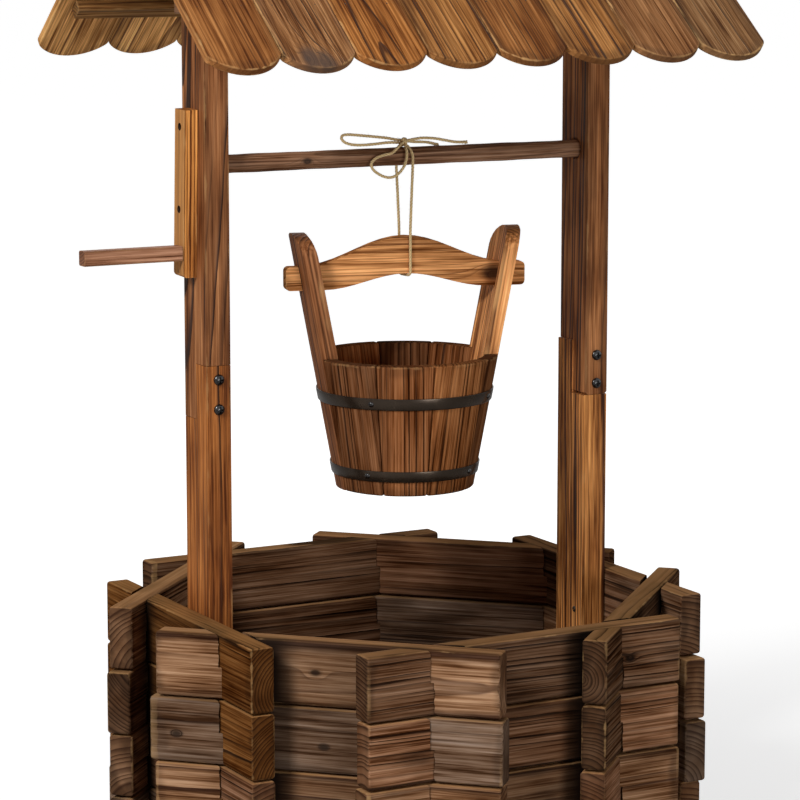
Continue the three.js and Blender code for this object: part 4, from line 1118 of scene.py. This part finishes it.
def add_fuzz(name, paths, count, draw):
    """Loose fibres that stand off the twine. Each starts on the twine's surface at a random place and
    bends: its point at a share t of its length is the start plus t times one random direction plus t
    squared times another. Its section is a thin triangle that shrinks to the tip."""
    path = np.vstack(paths)
    start = path[draw.integers(2, len(path) - 2, count)]
    first, second, third = (draw.normal(size=(count, 3)) for _ in range(3))
    first /= np.linalg.norm(first, axis=1)[:, None]
    start = start + first * twine_radius * 0.7
    share = np.linspace(0, 1, 5)[None, :, None]
    reach = draw.uniform(0.0015, 0.0042, count)[:, None, None]
    line = start[:, None] + reach * (share * first[:, None] + share ** 2 * second[:, None] * 0.5)
    across = np.cross(first, third)
    across /= np.linalg.norm(across, axis=1)[:, None]
    other = np.cross(first, across)
    turn = 2 * math.pi * np.arange(3) / 3
    thick = 0.00009 * (1 - 0.8 * share)[:, :, None]
    c, s = np.cos(turn)[:, None], np.sin(turn)[:, None]
    rim = (c * across[:, None, None] + s * other[:, None, None]) * thick
    points = (line[:, :, None] + rim).reshape(-1, 3)
    ring = np.arange(4)[:, None] * 3 + np.arange(3)
    beside = ring - ring % 3 + (ring + 1) % 3
    quads = np.stack([ring, beside, beside + 3, ring + 3], -1)
    first_point = 15 * np.arange(count)[:, None, None]  # five rings of three points to a fibre
    quads = (quads.reshape(1, -1, 4) + first_point).reshape(-1, 4)
    ends = (np.array([[2, 1, 0], [12, 13, 14]]) + first_point).reshape(-1, 3)
    return make_piece(name, points, [*quads, *ends], jute_fuzz, None)


jute_fuzz, fuzz_shader = new_finish("jute_fuzz", {"Roughness": 0.9})
fuzz_shade = cloud(*(part * 300 for part in own_place(jute_fuzz.node_tree)))
feed(fuzz_shader, {
    "Base Color": blend_paint(jute_fuzz.node_tree, fuzz_shade, paint(200, 166, 122), paint(238, 210, 170))})


bow_paths = []
fuzz_draw = np.random.default_rng(29)
bow_routes = [  # name, route, far end and level direction of each free stretch
    ("twine_left_loop", left_loop_route, "object", (0, 1, 0)),
    ("twine_lower_loop", lower_loop_route, "object", (0, 1, 0)),
    ("twine_long_tail", long_tail_route, "bare", (0, 0, 1)),
    ("twine_short_tail", short_tail_route, "bare", (0, 0, 1)),
]
for name, route, end, level in bow_routes:
    path = smooth_route(route) + hang_point
    piece = add_twine(name, path, "bow", level, frayed=end == "bare")
    bow_paths.append(path)
    path[::4].tolist() + [path[-1].tolist()]
    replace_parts(piece, "twine_bow")
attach(add_fuzz("twine_fuzz_bow", bow_paths, 260, fuzz_draw), "bow")

# The ring over the rod, the knot on it, and the strands down to the yoke and round it.
ring_radius = rod_radius + 0.0006 + twine_radius
strand_x = {"front": 0.0033, "rear": -0.0038}
ring_angle = np.linspace(0, math.pi, 41)
ring_path = np.column_stack([
    strand_x["front"] + (strand_x["rear"] - strand_x["front"]) * ring_angle / math.pi,
    -ring_radius * np.cos(ring_angle), ring_radius * np.sin(ring_angle)]) + hang_point
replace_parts(add_twine("twine_ring", ring_path, "bow", (1, 0, 0)), "twine_bow")

knot_turns, knot_rise = full_turn(32)[:, None], np.linspace(0, math.pi, 21)
knot_size = knot_radius * (0.92 + 0.10 * np.cos(3 * knot_turns + 2.4 * knot_rise) * np.sin(knot_rise))
knot_grid = np.stack([knot_size * np.sin(knot_rise) * np.cos(knot_turns) * 0.95,
                      knot_size * np.sin(knot_rise) * np.sin(knot_turns),
                      knot_size * np.cos(knot_rise) + 0 * knot_turns], -1)
knot_points = knot_grid.reshape(-1, 3) + knot_place + hang_point
knot_faces = grid_faces(knot_grid)
knot = make_piece("twine_knot", knot_points, knot_faces, jute_twine, "bow", smooth=80)
lay_map(knot.data, knot_grid.shape[1], knot_rise * knot_radius * 3, knot_turns.ravel() * 2)
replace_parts(merge_doubles(knot), "twine_bow")

yoke_top, yoke_foot = rod_z - 0.118, rod_z - 0.118 - 0.026
wrap_offset, wrap_slant, wrap_bend = 0.008 + 0.0011 + twine_radius, 0.0038, 0.0046
wrap_top = yoke_top + 0.031 + 0.0008  # over the yoke's crown
wrap_low = yoke_foot + 0.016 - 0.0003 - twine_radius  # under its arch
bend = np.linspace(0, math.pi / 2, 7)
quarter = np.column_stack([-wrap_offset + wrap_bend - wrap_bend * np.cos(bend),
                           wrap_low + wrap_bend - wrap_bend * np.sin(bend)])
half_wrap = np.vstack([[-wrap_offset, wrap_top], [-wrap_offset, (wrap_top + wrap_low) / 2], quarter])
wrap = np.vstack([half_wrap, half_wrap[::-1] * [-1, 1]])
wrap_points = np.column_stack([-wrap_slant * wrap[:, 0] / wrap_offset, wrap[:, 0], wrap[:, 1]])
wrap_path = smooth_route(on_bucket(wrap_points) * 1000)
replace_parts(add_twine("twine_round_yoke", wrap_path, "bucket", (1, 0, 0)), "twine_wrap")

for label, side in (("front", -1), ("rear", 1)):
    foot = on_bucket([-side * wrap_slant, side * wrap_offset, wrap_top])
    head = hang_point + [strand_x[label], side * ring_radius, 0.0]
    under = head + [0, 0, -rod_radius]
    middle = (head + foot) / 2
    middle[2] = (rod_z + wrap_top) / 2
    strand = smooth_route(np.array([head, under, middle, foot + [0, 0, 0.005], foot]) * 1000)
    joint = len(strand) // 2
    upper = add_twine(f"twine_{label}_strand_upper", strand[:joint + 1], None, (1, 0, 0))
    lower = add_twine(f"twine_{label}_strand_lower", strand[joint:], None, (1, 0, 0))
    upper_fuzz = add_fuzz(f"twine_fuzz_{label}_upper", [strand[:joint]], 50, fuzz_draw)
    lower_fuzz = add_fuzz(f"twine_fuzz_{label}_lower", [strand[joint:]], 50, fuzz_draw)
    for piece in (upper, upper_fuzz):
        strand[0] + [0, 0, -0.012]
        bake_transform(piece)
    for piece in (lower, lower_fuzz):
        strand[joint] + [0, 0, -0.006]
        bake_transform(piece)
    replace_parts(upper, f"twine_strand_{label}")
    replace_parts(lower, f"twine_strand_{label}")

# Floor and light
# A plain pale floor runs out to a white background. The light is soft: a wide lamp high on the camera's
# left, a weaker one low on its right, one behind, and an even sky.
floor_half = 60.0
floor_mesh = bpy.data.meshes.new("studio_floor")
floor_mesh.from_pydata([(x, y, 0) for x, y in ((-1, -1), (1, -1), (1, 1), (-1, 1))], [], [(0, 1, 2, 3)])
floor_mesh.transform(Matrix.Scale(floor_half, 4))
floor = bpy.data.objects.new("studio_floor", floor_mesh)
bpy.context.scene.collection.objects.link(floor)
pale, floor_shader = new_finish("studio_pale", {
    "Base Color": (0.66, 0.66, 0.66, 1), "Roughness": 0.9, "Specular IOR Level": 0.0})
floor_tree = pale.node_tree
floor_x, floor_y, _ = own_place(floor_tree)
floor_seen = Field(new_node(floor_tree, "LightPath").outputs["Is Camera Ray"])
floor_glow = floor_seen * ((floor_x * floor_x + floor_y * floor_y).root().rise(0.35, 2.0) * 0.27 + 0.65)
glow = new_node(floor_tree, "Emission", {"Color": (1, 1, 1, 1), "Strength": floor_glow}).outputs[0]
lit = new_node(floor_tree, "AddShader", {0: floor_shader.outputs[0], 1: glow}).outputs[0]
feed(floor_tree.nodes["Material Output"], {"Surface": lit})
floor_mesh.materials.append(pale)

world = bpy.data.worlds.new("studio")
bpy.context.scene.world = world
world.use_nodes = True
rays = new_node(world.node_tree, "LightPath").outputs
seen = Field(rays["Is Camera Ray"]).at_least(Field(rays["Is Glossy Ray"]))
seen = seen.at_least(Field(rays["Is Transmission Ray"]))
feed(world.node_tree.nodes["Background"], {"Color": (1, 1, 1, 1), "Strength": seen * 0.88 + 0.12})

lamp_aim = (0, 0, 0.5)
lamps = {  # place, power in watts, width
    "key": ((-2.9, -1.5, 2.7), 98, 1.0),
    "fill": ((0.2, -3.6, 0.4), 40, 1.2),
    "back": ((0.6, 2.8, 2.4), 22, 1.6),
}
for name, (place, power, width) in lamps.items():
    lamp = bpy.data.objects.new(name, bpy.data.lights.new(name, "AREA"))
    lamp.data.energy = power
    lamp.data.size = width
    lamp.location = place
    aim = np.array(lamp_aim) - np.array(place)
    lamp.rotation_euler = lay(np.cross((0, 0, 1), aim), -aim)
    bpy.context.scene.collection.objects.link(lamp)

bpy.context.scene.view_settings.view_transform = "Standard"
